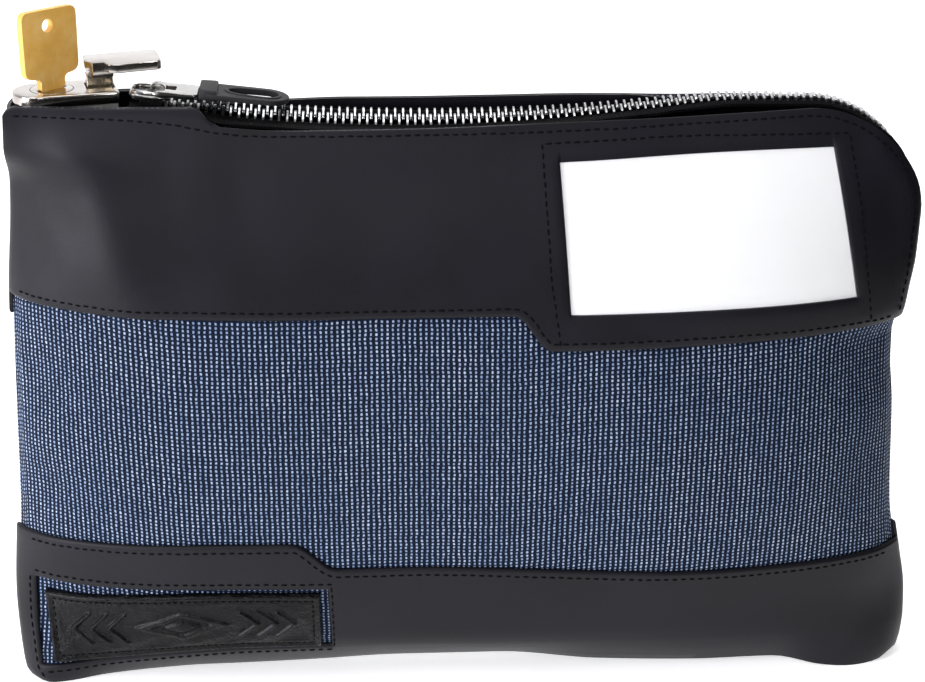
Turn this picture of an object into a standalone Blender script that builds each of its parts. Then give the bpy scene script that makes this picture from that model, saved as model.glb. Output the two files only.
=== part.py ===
"""Locking deposit bag: stuffed fabric pouch with vinyl overlays, zip, pop-up key lock.

Metres, +Z up.  The bag stands on its flat base, front face towards -Y, origin at
the bottom centre.  Working numbers below are millimetres and are scaled on the way out.
"""
import math

import bmesh
import bpy
from mathutils import Matrix, Vector

MM = 0.001

# ---------------------------------------------------------------- driving dimensions (mm)
BELLY = 28.0          # half thickness of the stuffed bag
BELLY_Z = 88.0        # height of the widest place
BASE_HALF = 11.0      # half width of the flat base strip
SEAM = 0.15           # each half stops this far from the middle plane
PANEL_T = 1.1         # vinyl overlay
GAP = 0.3             # gap between touching pieces
FABRIC_T = 0.8        # woven pouch

CHAIN_X0, CHAIN_Z0, CHAIN_R = -5.0, 162.6, 528.0   # sagging zip: circle above the bag
CHAIN_START, CHAIN_ARC_END = -86.8, 60.0
CORNER_X, CORNER_Z, CORNER_R = 90.8, 136.4, 32.3     # round top right corner
ZIP_END_Z = 109.0
CHAIN_HALF = 1.3      # half height of the tooth rows
SLOT_HALF = 1.0       # the slider's web runs in this slot between the rows
ROW_OUT = 2.5

LOCK_X, LOCK_Z, LOCK_YAW = -107.0, 172.0, 12.0      # plug axis and top of the housing
HOUSING_L, HOUSING_RT, HOUSING_W, HOUSING_H = -10.2, 16.7, 15.0, 3.1
PLUG_R, BARREL_R, BARREL_D = 5.5, 4.6, 14.2
KEY_TURN = 34.0       # key plane in the lock's frame, degrees
KEY_T = 2.0
STEM_X0, STEM_X1, STEM_Y0, STEM_Y1 = 9.6, 15.4, -2.0, 3.2

PIVOT_X, PIVOT_Z, PULL_SLOPE = -79.35, 171.6, 7.0


# ---------------------------------------------------------------- small helpers
def clear_scene():
    for obj in list(bpy.data.objects):
        bpy.data.objects.remove(obj, do_unlink=True)


def material(name, colour, roughness, metallic=0.0, alpha=1.0):
    mat = bpy.data.materials.new(name)
    mat.use_nodes = True
    bsdf = mat.node_tree.nodes["Principled BSDF"]
    bsdf.inputs["Base Color"].default_value = (*colour, 1.0)
    bsdf.inputs["Roughness"].default_value = roughness
    bsdf.inputs["Metallic"].default_value = metallic
    bsdf.inputs["Alpha"].default_value = alpha
    return mat


def from_bmesh(bm, name, mat, parent=None, smooth=False):
    bmesh.ops.recalc_face_normals(bm, faces=bm.faces[:])
    mesh = bpy.data.meshes.new(name)
    bm.to_mesh(mesh)
    bm.free()
    if smooth:
        mesh.shade_smooth()
        mesh.set_sharp_from_angle(angle=math.radians(35))
    obj = bpy.data.objects.new(name, mesh)
    bpy.context.scene.collection.objects.link(obj)
    if mat is not None:
        mesh.materials.append(mat)
    if parent is not None:
        obj.parent = parent
    return obj


def from_points(points, faces, name, mat, parent=None, smooth=False):
    bm = bmesh.new()
    verts = [bm.verts.new((p[0] * MM, p[1] * MM, p[2] * MM)) for p in points]
    for face in faces:
        bm.faces.new([verts[i] for i in face])
    return from_bmesh(bm, name, mat, parent, smooth)


def prism(outline, z0, z1, name, mat, parent=None, axis="Z", smooth=False):
    """Extrudes a closed outline; axis Z takes (x, y), axis Y takes (x, z)."""
    n = len(outline)

    def place(p, h):
        return (p[0], p[1], h) if axis == "Z" else (p[0], h, p[1])

    points = [place(p, z0) for p in outline] + [place(p, z1) for p in outline]
    faces = [list(range(n))[::-1], list(range(n, 2 * n))]
    faces += [[i, (i + 1) % n, n + (i + 1) % n, n + i] for i in range(n)]
    return from_points(points, faces, name, mat, parent, smooth)


def rect(x0, x1, y0, y1):
    return [(x0, y0), (x1, y0), (x1, y1), (x0, y1)]


def circle(cx, cy, r, n=28):
    return [(cx + r * math.cos(2 * math.pi * k / n), cy + r * math.sin(2 * math.pi * k / n)) for k in range(n)]


def round_left(x_left, x_right, half, n=14):
    """Bar outline with a half-round left end."""
    cx = x_left + half
    arc = [(cx + half * math.cos(math.radians(90 + 180 * k / n)), half * math.sin(math.radians(90 + 180 * k / n)))
           for k in range(n + 1)]
    return [(x_right, -half), (x_right, half)] + arc


def cutter(obj):
    obj.hide_render = True
    obj.display_type = "WIRE"
    return obj


def boolean(obj, other, operation="DIFFERENCE"):
    mod = obj.modifiers.new(other.name, "BOOLEAN")
    mod.operation = operation
    mod.object = cutter(other)
    return mod


def empty(name, location, yaw=0.0, parent=None):
    obj = bpy.data.objects.new(name, None)
    bpy.context.scene.collection.objects.link(obj)
    obj.location = [c * MM for c in location]
    obj.rotation_euler = (0, 0, math.radians(yaw))
    obj.parent = parent
    return obj


# ---------------------------------------------------------------- the shape of the bag
def smooth01(t):
    t = min(max(t, 0.0), 1.0)
    return t * t * (3 - 2 * t)


def table(points, x):
    """Piecewise cubic (smooth steps between the points)."""
    if x <= points[0][0]:
        return points[0][1]
    for (x0, v0), (x1, v1) in zip(points, points[1:]):
        if x <= x1:
            return v0 + (v1 - v0) * (x - x0) / (x1 - x0)
    return points[-1][1]


LEFT_EDGE = [(0, -118.0), (2, -121.5), (8, -124.6), (22, -126.0), (53, -123.9), (84, -122.7),
             (117, -121.5), (141, -119.8), (168.7, -118.8)]
RIGHT_EDGE = [(0, 118.0), (3, 122.6), (8, 125.4), (18, 126.6), (33, 124.2), (48, 121.6), (80, 120.0),
              (92, 118.6), (104, 118.8), (114, 121.0), (124, 122.8), (136.4, 123.1)]
TOP_EDGE = [(-66, 165.3), (-44, 163.4), (-17, 163.3), (9, 163.7), (36, 165.3), (63, 167.2), (78, 168.2),
            (90.8, 168.7)]
TOP_GAP = [(-119, 9.5), (-100, 12.2), (-60, 13.0), (0, 12.0), (35, 9.5), (60, 7.2), (91, 6.3)]


def left_edge(z):
    return table(LEFT_EDGE, z)


def right_edge(z):
    if z > CORNER_Z:
        return CORNER_X + math.sqrt(max(CORNER_R ** 2 - (z - CORNER_Z) ** 2, 0.0))
    return table(RIGHT_EDGE, z)


def chain_z(x):
    if x <= CHAIN_ARC_END:
        return CHAIN_Z0 + CHAIN_R - math.sqrt(CHAIN_R ** 2 - (x - CHAIN_X0) ** 2)
    # the last stretch levels out into the corner
    t = (x - CHAIN_ARC_END) / (CORNER_X - CHAIN_ARC_END)
    z0 = CHAIN_Z0 + CHAIN_R - math.sqrt(CHAIN_R ** 2 - (CHAIN_ARC_END - CHAIN_X0) ** 2)
    slope = (CHAIN_ARC_END - CHAIN_X0) / CHAIN_R * (CORNER_X - CHAIN_ARC_END)
    z1 = CORNER_Z + CORNER_R - 0.8
    h00, h10, h01 = 2 * t ** 3 - 3 * t ** 2 + 1, t ** 3 - 2 * t ** 2 + t, -2 * t ** 3 + 3 * t ** 2
    return h00 * z0 + h10 * slope + h01 * z1


def top_z(x):
    """Upper edge of both halves: high beside the lock and slider, then along the chain."""
    low = table(TOP_EDGE, x)
    return low + (168.6 - low) * smooth01((-64.5 - x) / 4.0)


def side_gap_right(z):
    return SEAM + 6.05 * smooth01((z - 99) / 11)


def side_gap_left(z):
    return SEAM + 9.3 * smooth01((z - 147) / 13)


def half_thickness(u, x, z):
    a = abs(2 * u - 1)
    gx = max(1 - a ** 4, 0.0) ** 0.7
    if u < 0.5:
        side = side_gap_left(z)
    else:
        side = side_gap_right(z)
    side = max(side, 1.3 * (1 - smooth01(z / 8)))
    if z < BELLY_Z:
        body = gx * (BELLY - (BELLY - BASE_HALF) * (1 - z / BELLY_Z) ** 2)
        return body + a ** 8 * side
    top = top_z(x)
    s = min((z - BELLY_Z) / (top - BELLY_Z), 1.0) ** 2.2
    gap = s * table(TOP_GAP, x)
    return (1 - s) * gx * BELLY + gap + a ** 8 * (side - gap)


def blend_at(x, x0, v0, x1, v1):
    return v0 + (v1 - v0) * smooth01((x - x0) / (x1 - x0))


def cut_bottom(x):      # lower edge of the label cut-out
    return blend_at(x, -125, 3.6, -60, 12.0)


def cut_top(x):
    return blend_at(x, -125, 30.5, -60, 35.0)


def band_low(x):        # upper edge of the lower panel
    return blend_at(x, -47.5, blend_at(x, -125, 47.0, -60, 49.5), -35.5, 41.0) - 5.0 * smooth01((x + 20) / 100)


def band_high(x):       # lower edge of the upper panel
    return blend_at(x, 12.5, 116.0, 22.0, 106.4)


U_LINES = [0, .006, .024, .055, .095, .14, .2, .26, .31, .349, .42, .49, .552, .58, .61, .69, .77, .85, .93,
           .955, .975, .99, 1]
U_LABEL_L, U_LABEL_R, U_WINDOW_L, U_WINDOW_R = 2, 9, 14, 18
STRIP = 2               # grid rows across the flat base
FRONT_ROWS = [lambda x: 0.0, lambda x: 0.5 * cut_bottom(x), cut_bottom,
              lambda x: 0.5 * (cut_bottom(x) + cut_top(x)), cut_top, band_low,
              lambda x: band_low(x) + 0.33 * (band_high(x) - band_low(x)),
              lambda x: band_low(x) + 0.67 * (band_high(x) - band_low(x)), band_high,
              lambda x: blend_at(x, 0, 122.0, 30, 116.0), lambda x: 136.0, lambda x: 156.0, lambda x: 162.0]
R_CUT_BOTTOM, R_CUT_TOP, R_BAND_LOW, R_BAND_HIGH, R_WINDOW_LOW, R_WINDOW_HIGH = (STRIP + k for k in (2, 4, 5, 8, 9, 11))
BACK_ROWS = [lambda x: 0.0, lambda x: 5.0, lambda x: 12.0, lambda x: 22.0, lambda x: 32.0, lambda x: 41.0,
             lambda x: 64.0, lambda x: 88.0, lambda x: 110.0, lambda x: 122.0, lambda x: 138.0, lambda x: 152.0,
             lambda x: 162.0]


def grid_point(u, row):
    """Outer surface of the front half at column u on the level line row(x); row None is the top edge."""
    if row is None:
        x = left_edge(168.7) + u * (CORNER_X - left_edge(168.7))
        z = top_z(x)
    else:
        z = row(0.0)
        for _ in range(12):
            x = left_edge(z) + u * (right_edge(z) - left_edge(z))
            z = row(x)
    return Vector((x, -half_thickness(u, x, z), z))


def bag_grid(rows):
    grid = []
    foot = [grid_point(u, rows[0]) for u in U_LINES]
    for k in range(STRIP):
        f = k / STRIP
        grid.append([Vector((p.x, -(SEAM + (-p.y - SEAM) * f), 0.0)) for p in foot])
    for row in rows:
        grid.append([grid_point(u, row) for u in U_LINES])
    grid.append([grid_point(u, None) for u in U_LINES])
    return grid


def normals_of(grid):
    out = []
    for j, line in enumerate(grid):
        row = []
        for i, p in enumerate(line):
            total = Vector((0, 0, 0))
            for dj in (-1, 0):
                for di in (-1, 0):
                    if 0 <= j + dj < len(grid) - 1 and 0 <= i + di < len(line) - 1:
                        a, b = grid[j + dj][i + di], grid[j + dj][i + di + 1]
                        c, d = grid[j + dj + 1][i + di + 1], grid[j + dj + 1][i + di]
                        total += (c - a).cross(d - b).normalized()
            row.append(total.normalized())
        out.append(row)
    return out


def offset(p, n, depth):
    q = p - n * depth
    q.y = min(q.y, -SEAM)
    q.z = max(q.z, 0.0)
    return q


def shell(grid, normals, cells, out_depth, in_depth, name, mat, mirror=False):
    """Closed solid over the given grid cells, from out_depth to in_depth below the surface."""
    index, points, faces, edges = {}, [], [], {}

    def vert(i, j, inner):
        key = (i, j, inner)
        if key not in index:
            index[key] = len(points)
            q = offset(grid[j][i], normals[j][i], in_depth if inner else out_depth)
            points.append((q.x, -q.y if mirror else q.y, q.z))
        return index[key]

    for i, j in cells:
        ring = [(i, j), (i + 1, j), (i + 1, j + 1), (i, j + 1)]
        for tri in ((0, 1, 2), (0, 2, 3)):      # both skins split along the same diagonal
            faces.append([vert(*ring[k], 0) for k in tri])
            faces.append([vert(*ring[k], 1) for k in tri[::-1]])
        for a, b in zip(ring, ring[1:] + ring[:1]):
            if (b, a) in edges:
                del edges[(b, a)]
            else:
                edges[(a, b)] = True
    for a, b in edges:
        faces.append([vert(*a, 0), vert(*a, 1), vert(*b, 1), vert(*b, 0)])
    return from_points(points, faces, name, mat)


def between(grid, normals, fi, fj, depth):
    """Point at fractional grid coordinates, on the facets of the grid."""
    i, j = min(int(fi), len(grid[0]) - 2), min(int(fj), len(grid) - 2)
    s, t = fi - i, fj - j
    if s >= t:      # same diagonal as the triangulated shells
        w = [((i, j), 1 - s), ((i + 1, j), s - t), ((i + 1, j + 1), t)]
    else:
        w = [((i, j), 1 - t), ((i + 1, j + 1), s), ((i, j + 1), t - s)]
    p, n = Vector((0, 0, 0)), Vector((0, 0, 0))
    for (a, b), k in w:
        p += grid[b][a] * k
        n += normals[b][a] * k
    return offset(p, n.normalized(), depth)


def inset_patch(grid, normals, columns, rows, out_depth, in_depth, name, mat):
    """Patch whose border lies inside grid cells."""
    nx = len(columns)
    points, faces, edges = [], [], {}
    for depth in (out_depth, in_depth):
        for fj in rows:
            for fi in columns:
                points.append(tuple(between(grid, normals, fi, fj, depth)))
    half = nx * len(rows)
    for b in range(len(rows) - 1):
        for a in range(nx - 1):
            ring = [b * nx + a, b * nx + a + 1, (b + 1) * nx + a + 1, (b + 1) * nx + a]
            for base, turn in ((0, 1), (half, -1)):
                tri = [[ring[0], ring[1], ring[2]], [ring[0], ring[2], ring[3]]]
                faces += [[base + k for k in t][::turn] for t in tri]
            for p, q in zip(ring, ring[1:] + ring[:1]):
                if (q, p) in edges:
                    del edges[(q, p)]
                else:
                    edges[(p, q)] = True
    for p, q in edges:
        faces.append([p, p + half, q + half, q])
    return from_points(points, faces, name, mat)


# ---------------------------------------------------------------- the zip's path
def zip_path():
    """(x, z, outward normal x, z, half gap) along the top, round the corner and down the side."""
    out = []
    n = 26
    for k in range(n + 1):
        x = CHAIN_START + (CHAIN_ARC_END - CHAIN_START) * k / n
        out.append((x, chain_z(x), -(x - CHAIN_X0) / CHAIN_R, 1.0, table(TOP_GAP, x)))
    for x in (66.0, 72.0, 78.0, 84.0):
        slope = (chain_z(x + 0.5) - chain_z(x - 0.5))
        out.append((x, chain_z(x), -slope, 1.0, table(TOP_GAP, x)))
    r = CORNER_R - 0.8
    for k in range(10):
        t = math.radians(90 - 10 * k)
        gap = table(TOP_GAP, 91) + (side_gap_right(CORNER_Z) - table(TOP_GAP, 91)) * k / 9
        out.append((CORNER_X + r * math.cos(t), CORNER_Z + r * math.sin(t), math.cos(t), math.sin(t), gap))
    for z in (131.0, 125.0, 120.0, 115.0, ZIP_END_Z):
        slope = (right_edge(z + 1) - right_edge(z - 1)) / 2
        out.append((right_edge(z) - 0.8, z, 1.0, -slope, side_gap_right(z)))
    return out


def sweep(path, section, name, mat, sign=1.0):
    """section(gap) gives (y, n) corners, n along the outward normal."""
    points, faces = [], []
    for x, z, nx, nz, gap in path:
        length = math.hypot(nx, nz)
        for y, n in section(gap):
            points.append((x + nx / length * n, sign * y, z + nz / length * n))
    m = len(section(6.0))
    for k in range(len(path) - 1):
        for c in range(m):
            d = (c + 1) % m
            faces.append([k * m + c, k * m + d, (k + 1) * m + d, (k + 1) * m + c])
    faces.append(list(range(m))[::-1])
    faces.append([(len(path) - 1) * m + c for c in range(m)])
    return from_points(points, faces, name, mat)


# ---------------------------------------------------------------- build
def build_bag():
    vinyl = material("black_vinyl", (0.012, 0.012, 0.014), 0.42)
    weave = material("woven_fabric", (0.045, 0.09, 0.19), 0.7)
    film = material("clear_film", (0.9, 0.93, 0.95), 0.08, 0.0, 0.35)
    card = material("white_card", (0.85, 0.85, 0.85), 0.55)
    label = material("label_black", (0.01, 0.01, 0.011), 0.18)
    tape = material("zip_tape", (0.014, 0.014, 0.016), 0.8)
    teeth = material("zip_metal", (0.62, 0.62, 0.63), 0.3, 1.0)

    front = bag_grid(FRONT_ROWS)
    fn = normals_of(front)
    back = bag_grid(BACK_ROWS)
    bn = normals_of(back)
    nx, nj = len(U_LINES) - 1, len(front) - 1
    every = [(i, j) for j in range(nj) for i in range(nx)]
    deep = PANEL_T + GAP
    shell(front, fn, every, deep, deep + FABRIC_T, "front_fabric", weave)
    shell(back, bn, every, deep, deep + FABRIC_T, "back_fabric", weave, mirror=True)

    lower = [(i, j) for i, j in every if j < R_BAND_LOW
             and not (U_LABEL_L <= i < U_LABEL_R and R_CUT_BOTTOM <= j < R_CUT_TOP)]
    shell(front, fn, lower, 0.0, PANEL_T, "front_lower_panel", vinyl)
    upper = [(i, j) for i, j in every if j >= R_BAND_HIGH
             and not (U_WINDOW_L <= i < U_WINDOW_R and R_WINDOW_LOW <= j < R_WINDOW_HIGH)]
    shell(front, fn, upper, 0.0, PANEL_T, "front_upper_panel", vinyl)
    shell(back, bn, [c for c in every if c[1] < STRIP + 5], 0.0, PANEL_T, "back_lower_panel", vinyl, mirror=True)
    shell(back, bn, [c for c in every if c[1] >= STRIP + 8], 0.0, PANEL_T, "back_upper_panel", vinyl, mirror=True)

    # identity window: clear film over a white card
    cols = [U_WINDOW_L + 0.03] + list(range(U_WINDOW_L + 1, U_WINDOW_R)) + [U_WINDOW_R - 0.03]
    rows = [R_WINDOW_LOW + 0.03, R_WINDOW_LOW + 1, R_WINDOW_HIGH - 0.03]
    inset_patch(front, fn, cols, rows, 0.30, 0.60, "window_film", film)
    cols = [U_WINDOW_L + 0.12] + list(range(U_WINDOW_L + 1, U_WINDOW_R)) + [U_WINDOW_R - 0.15]
    rows = [R_WINDOW_LOW + 0.10, R_WINDOW_LOW + 1, R_WINDOW_HIGH - 0.10]
    inset_patch(front, fn, cols, rows, 0.82, 1.12, "id_card", card)
    # embossed label in its cut-out
    cols = [U_LABEL_L + 0.25] + list(range(U_LABEL_L + 1, U_LABEL_R)) + [U_LABEL_R - 0.12]
    rows = [R_CUT_BOTTOM + 0.10, R_CUT_BOTTOM + 1, R_CUT_TOP - 0.26]
    inset_patch(front, fn, cols, rows, -0.5, 1.1, "label_patch", label)

    path = zip_path()
    row = [(SLOT_HALF, -CHAIN_HALF), (ROW_OUT, -CHAIN_HALF), (ROW_OUT, 0.6), (SLOT_HALF, CHAIN_HALF)]
    sweep(path, lambda gap: row, "front_tooth_row", teeth, -1.0)
    sweep(path, lambda gap: row, "back_tooth_row", teeth, 1.0)

    def tape_section(gap):
        return [(ROW_OUT + 0.3, -1.2), (gap - 2.5, -1.2), (gap - 2.5, -0.5), (ROW_OUT + 0.3, -0.5)]

    start = [p for p in path if p[0] > -86.0 or p[1] < 150]
    sweep(start, tape_section, "front_zip_tape", tape, -1.0)
    sweep(start, tape_section, "back_zip_tape", tape, 1.0)
    x = right_edge(106.0) - 0.8
    prism(rect(x - 1.2, x + 1.2, -2.3, 2.3), 105.2, 108.5, "zip_bottom_stop", teeth)

    # sewn end piece that closes the corner under the lock
    pts, faces = [], []
    zs = (152.0, 155.0, 158.0, 161.0, 164.5, 168.3)
    for depth in (0.2, 1.1):
        for z in zs:
            half = max(side_gap_left(z) * 0.8 - 2.2, 0.3)
            for y in (-half, half):
                pts.append((left_edge(z) + depth, y, z))
    m = 2 * len(zs)
    for k in range(len(zs) - 1):
        a = 2 * k
        faces += [[a, a + 1, a + 3, a + 2], [m + a, m + a + 2, m + a + 3, m + a + 1],
                  [a, a + 2, m + a + 2, m + a], [a + 1, m + a + 1, m + a + 3, a + 3]]
    faces += [[0, m, m + 1, 1], [m - 2, m - 1, 2 * m - 1, 2 * m - 2]]
    from_points(pts, faces, "end_gusset", vinyl)


def build_lock():
    nickel = material("nickel", (0.55, 0.55, 0.54), 0.25, 1.0)
    dark = material("lock_case_metal", (0.34, 0.34, 0.33), 0.4, 1.0)
    brass = material("brass", (0.62, 0.45, 0.2), 0.32, 1.0)
    steel = material("spring_steel", (0.5, 0.5, 0.5), 0.35, 1.0)
    frame = empty("lock_frame", (LOCK_X, 0, LOCK_Z), LOCK_YAW)
    plug_axis = empty("plug_axis", (0, 0, 0), 0, frame)
    latch_axis = empty("latch_axis", ((STEM_X0 + STEM_X1) / 2, (STEM_Y0 + STEM_Y1) / 2, 0), 0, frame)
    lx, ly = (STEM_X0 + STEM_X1) / 2, (STEM_Y0 + STEM_Y1) / 2

    # housing: bar with a half-round end and a bevelled upper rim
    housing = prism(round_left(HOUSING_L, HOUSING_RT, HOUSING_W / 2), -HOUSING_H, 0.0, "lock_housing", nickel, frame)
    bevel = housing.modifiers.new("rim", "BEVEL")
    bevel.width, bevel.segments, bevel.limit_method, bevel.angle_limit = 0.0007, 2, "ANGLE", math.radians(60)
    boolean(housing, prism(circle(0, 0, PLUG_R + 0.3, 32), -6, 3, "cut_plug_hole", None, frame))
    boolean(housing, prism(rect(STEM_X0 - 0.4, STEM_X1 + 0.4, STEM_Y0 - 0.4, STEM_Y1 + 0.4), -6, 3,
                           "cut_latch_hole", None, frame))

    # case below the housing, with the plug bore and the latch shaft
    case = prism(round_left(-5.5, HOUSING_RT - 0.3, 5.5), -18.0, -HOUSING_H - GAP, "lock_case", dark, frame)
    boolean(case, prism(circle(0, 0, BARREL_R + 0.3, 28), -20, 0, "cut_barrel", None, frame))
    boolean(case, prism(rect(STEM_X0 - 0.4, STEM_X1 + 0.4, STEM_Y0 - 0.4, STEM_Y1 + 0.4), -16.8, 0,
                        "cut_shaft", None, frame))
    prism(round_left(-5.5, HOUSING_RT - 0.3, 5.5), -19.4, -18.3, "lock_base_plate", dark, frame)
    for k, (sx, sy) in enumerate(((7.0, -3.6), (7.0, 3.6)), 1):
        head = prism(circle(sx, sy, 1.3, 12), -20.6, -19.7, f"case_screw_{k}", steel, frame)
        head.data.shade_smooth()
        head.data.set_sharp_from_angle(angle=math.radians(35))

    # plug with its keyway and three wafer pockets
    a = math.radians(KEY_TURN)
    turn = Matrix.Rotation(a, 2)

    def turned(outline):
        return [tuple(turn @ Vector(p)) for p in outline]

    plug = prism(circle(0, 0, PLUG_R, 32), -HOUSING_H, 0.0, "lock_plug", nickel, plug_axis)
    boolean(plug, prism(circle(0, 0, BARREL_R, 28), -BARREL_D, -HOUSING_H + 0.2, "add_barrel", None, plug_axis), "UNION")
    boolean(plug, prism(turned(rect(-4.4, 4.4, -1.3, 1.3)), -2.0, 2.0, "cut_mouth", None, plug_axis))
    boolean(plug, prism(turned(rect(-3.7, 3.7, -1.3, 1.3)), -16.0, 1.0, "cut_keyway", None, plug_axis))
    for k in range(3):
        z = -5.8 - 2.9 * k
        boolean(plug, prism(turned(rect(-5.0, 5.0, -2.1, 2.1)), z - 0.7, z + 0.7, f"cut_wafer_{k + 1}", None, plug_axis))
        wafer = prism(turned(rect(-4.15, 4.15, -1.8, 1.8)), z - 0.4, z + 0.4, f"wafer_{k + 1}", brass, plug_axis)
        boolean(wafer, prism(turned(rect(-3.65, 3.65, -1.25, 1.25)), z - 2, z + 2, f"cut_wafer_hole_{k + 1}", None,
                             plug_axis))
    # cam: disc with a lobe that holds the latch down
    cam = [(3.6 * math.cos(math.radians(t)), 3.6 * math.sin(math.radians(t))) for t in range(60, 331, 18)]
    cam += [(4.55 * math.cos(math.radians(t)), 4.55 * math.sin(math.radians(t))) for t in range(-20, 41, 15)]
    prism(cam, -17.2, -BARREL_D - 0.5, "lock_cam", steel, plug_axis)

    # key: bow, neck and grooved blade in one flat plate, hole through the bow
    outline = [(-3.2, -12.8), (-2.2, -13.8), (2.2, -13.8), (3.2, -12.8), (3.2, -0.6), (4.0, 0.3), (4.0, 3.2),
               (7.6, 3.7), (8.9, 5.4), (8.9, 18.8), (7.6, 21.0), (-7.2, 21.4), (-8.8, 19.6), (-8.9, 6.0),
               (-7.4, 3.9), (-4.0, 3.2), (-4.0, 0.3), (-3.2, -0.6)]
    key = prism(outline, -KEY_T / 2, KEY_T / 2, "key", brass, plug_axis, axis="Y")
    key.rotation_euler = (0, 0, a)
    hole = prism(circle(-0.5, 17.0, 1.95, 20), -4, 4, "cut_key_hole", None, plug_axis, axis="Y")
    hole.rotation_euler = (0, 0, a)
    boolean(key, hole)
    for side in (-1, 1):
        groove = prism(rect(-1.9, -0.7, side * 0.62 if side > 0 else -3, 3 if side > 0 else -0.62), -20, 2.6,
                       f"cut_groove_{'b' if side > 0 else 'f'}", None, plug_axis)
        groove.rotation_euler = (0, 0, a)
        boolean(key, groove)

    # pop-up latch: stem in the shaft, cap with the arm that reaches over the slider
    prism(rect(STEM_X0 - lx, STEM_X1 - lx, STEM_Y0 - ly, STEM_Y1 - ly), -11.6, 2.65, "latch_stem", brass, latch_axis)
    arm = [(15.4, 4.6), (20.0, 4.8), (27.4, 5.3), (28.0, 5.9), (27.6, 7.0), (26.8, 7.3), (15.4, 6.8)]
    cap = prism([(x - lx, z) for x, z in arm], -6.6 - ly, 6.6 - ly, "latch_cap", nickel, latch_axis, axis="Y")
    post = [(9.3, 2.95), (16.0, 2.95), (16.0, 6.85), (9.9, 6.75), (9.3, 6.2)]
    block = prism([(x - lx, z) for x, z in post], -2.8 - ly, 6.5 - ly, "add_post", None, latch_axis, axis="Y")
    boolean(cap, block, "UNION")

    # coil spring under the stem
    curve = bpy.data.curves.new("latch_spring", "CURVE")
    curve.dimensions = "3D"
    curve.bevel_depth, curve.bevel_resolution, curve.use_fill_caps = 0.28 * MM, 1, True
    turns, per_turn, z0, z1 = 4.0, 12, -16.2, -12.2
    spline = curve.splines.new("POLY")
    count = int(turns * per_turn) + 1
    spline.points.add(count - 1)
    for k in range(count):
        t = 2 * math.pi * k / per_turn
        z = z0 + (z1 - z0) * k / (count - 1)
        spline.points[k].co = (1.9 * math.cos(t) * MM, 1.9 * math.sin(t) * MM, z * MM, 1)
    curve.materials.append(steel)
    spring = bpy.data.objects.new("latch_spring", curve)
    bpy.context.scene.collection.objects.link(spring)
    spring.parent = latch_axis


def build_slider():
    metal = material("slider_metal", (0.6, 0.6, 0.6), 0.28, 1.0)
    rubber = material("grip_rubber", (0.045, 0.045, 0.048), 0.6)
    zc = chain_z(-81.9)
    tilt = math.degrees(math.asin((-81.9 - CHAIN_X0) / CHAIN_R))
    axis = empty("slider_axis", (-81.9, 0, zc))
    axis.rotation_euler = (0, math.radians(-tilt), 0)

    # body: shield-shaped top plate, web in the chain's slot, narrow lower plate
    top = [(-5.3, -3.0), (-2.5, -4.6), (5.2, -3.6), (5.2, 3.6), (-2.5, 4.6), (-5.3, 3.0)]
    body = prism(top, 1.6, 2.7, "slider_body", metal, axis)
    boolean(body, prism(rect(-2.5, 3.5, -0.6, 0.6), -2.4, 2.4, "add_web", None, axis), "UNION")
    boolean(body, prism(rect(-4.4, 4.6, -3.2, 3.2), -2.9, -1.8, "add_lower", None, axis), "UNION")

    # bridge over the pull's bar
    c, s = math.cos(math.radians(tilt)), math.sin(math.radians(tilt))
    px = (PIVOT_X + 81.9) * c + (PIVOT_Z - zc) * s
    pz = (PIVOT_Z - zc) * c - (PIVOT_X + 81.9) * s
    bridge = prism([(-1.4, 3.0), (px + 1.9, 3.0), (px + 1.9, pz + 0.9), (px + 1.2, pz + 1.9), (0.2, pz + 1.9),
                    (-1.4, pz + 0.2)], -1.6, 1.6, "slider_bridge", metal, axis, axis="Y")
    boolean(bridge, prism([(px - 1.1, pz - 1.1), (px + 1.05, pz - 1.1), (px + 1.05, pz + 1.05), (px - 1.1, pz + 1.05)],
                          -4, 4, "cut_tunnel", None, axis, axis="Y"))

    # pull plate and grip turn about the bar under the bridge
    pull = empty("pull_axis", (PIVOT_X, 0, PIVOT_Z))
    pull.rotation_euler = (0, math.radians(PULL_SLOPE), 0)
    plate = prism([(-0.75, -4.2), (1.5, -5.0), (8.6, -5.0), (10.4, -4.2), (10.4, 4.2), (8.6, 5.0), (1.5, 5.0),
                   (-0.75, 4.2)], -0.7, 0.7, "pull_plate", metal, pull)
    boolean(plate, prism(rect(0.75, 4.6, -2.1, 2.1), -3, 3, "cut_eye", None, pull))
    n = 12
    end = [(34.0 - 6.0 + 6.0 * math.sin(math.radians(180 * k / n)), -6.0 * math.cos(math.radians(180 * k / n)))
           for k in range(n + 1)]
    grip = prism([(10.7, -4.6), (14.5, -6.0)] + end + [(14.5, 6.0), (10.7, 4.6)], -0.3, 1.7, "pull_grip", rubber, pull)
    slot = [(18.2, 0.0), (19.4, -1.6), (21.0, -2.3), (28.4, -2.6), (30.4, -1.6), (31.2, 0.0), (30.4, 1.6),
            (28.4, 2.6), (21.0, 2.3), (19.4, 1.6)]
    boolean(grip, prism(slot, -4, 4, "cut_grip_slot", None, pull))


clear_scene()
build_bag()
build_lock()
build_slider()
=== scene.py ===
"""Looks of the locking deposit bag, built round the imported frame.  Working numbers are millimetres."""
import math

import bmesh
import bpy
import numpy as np
from mathutils import Matrix, Vector


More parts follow.
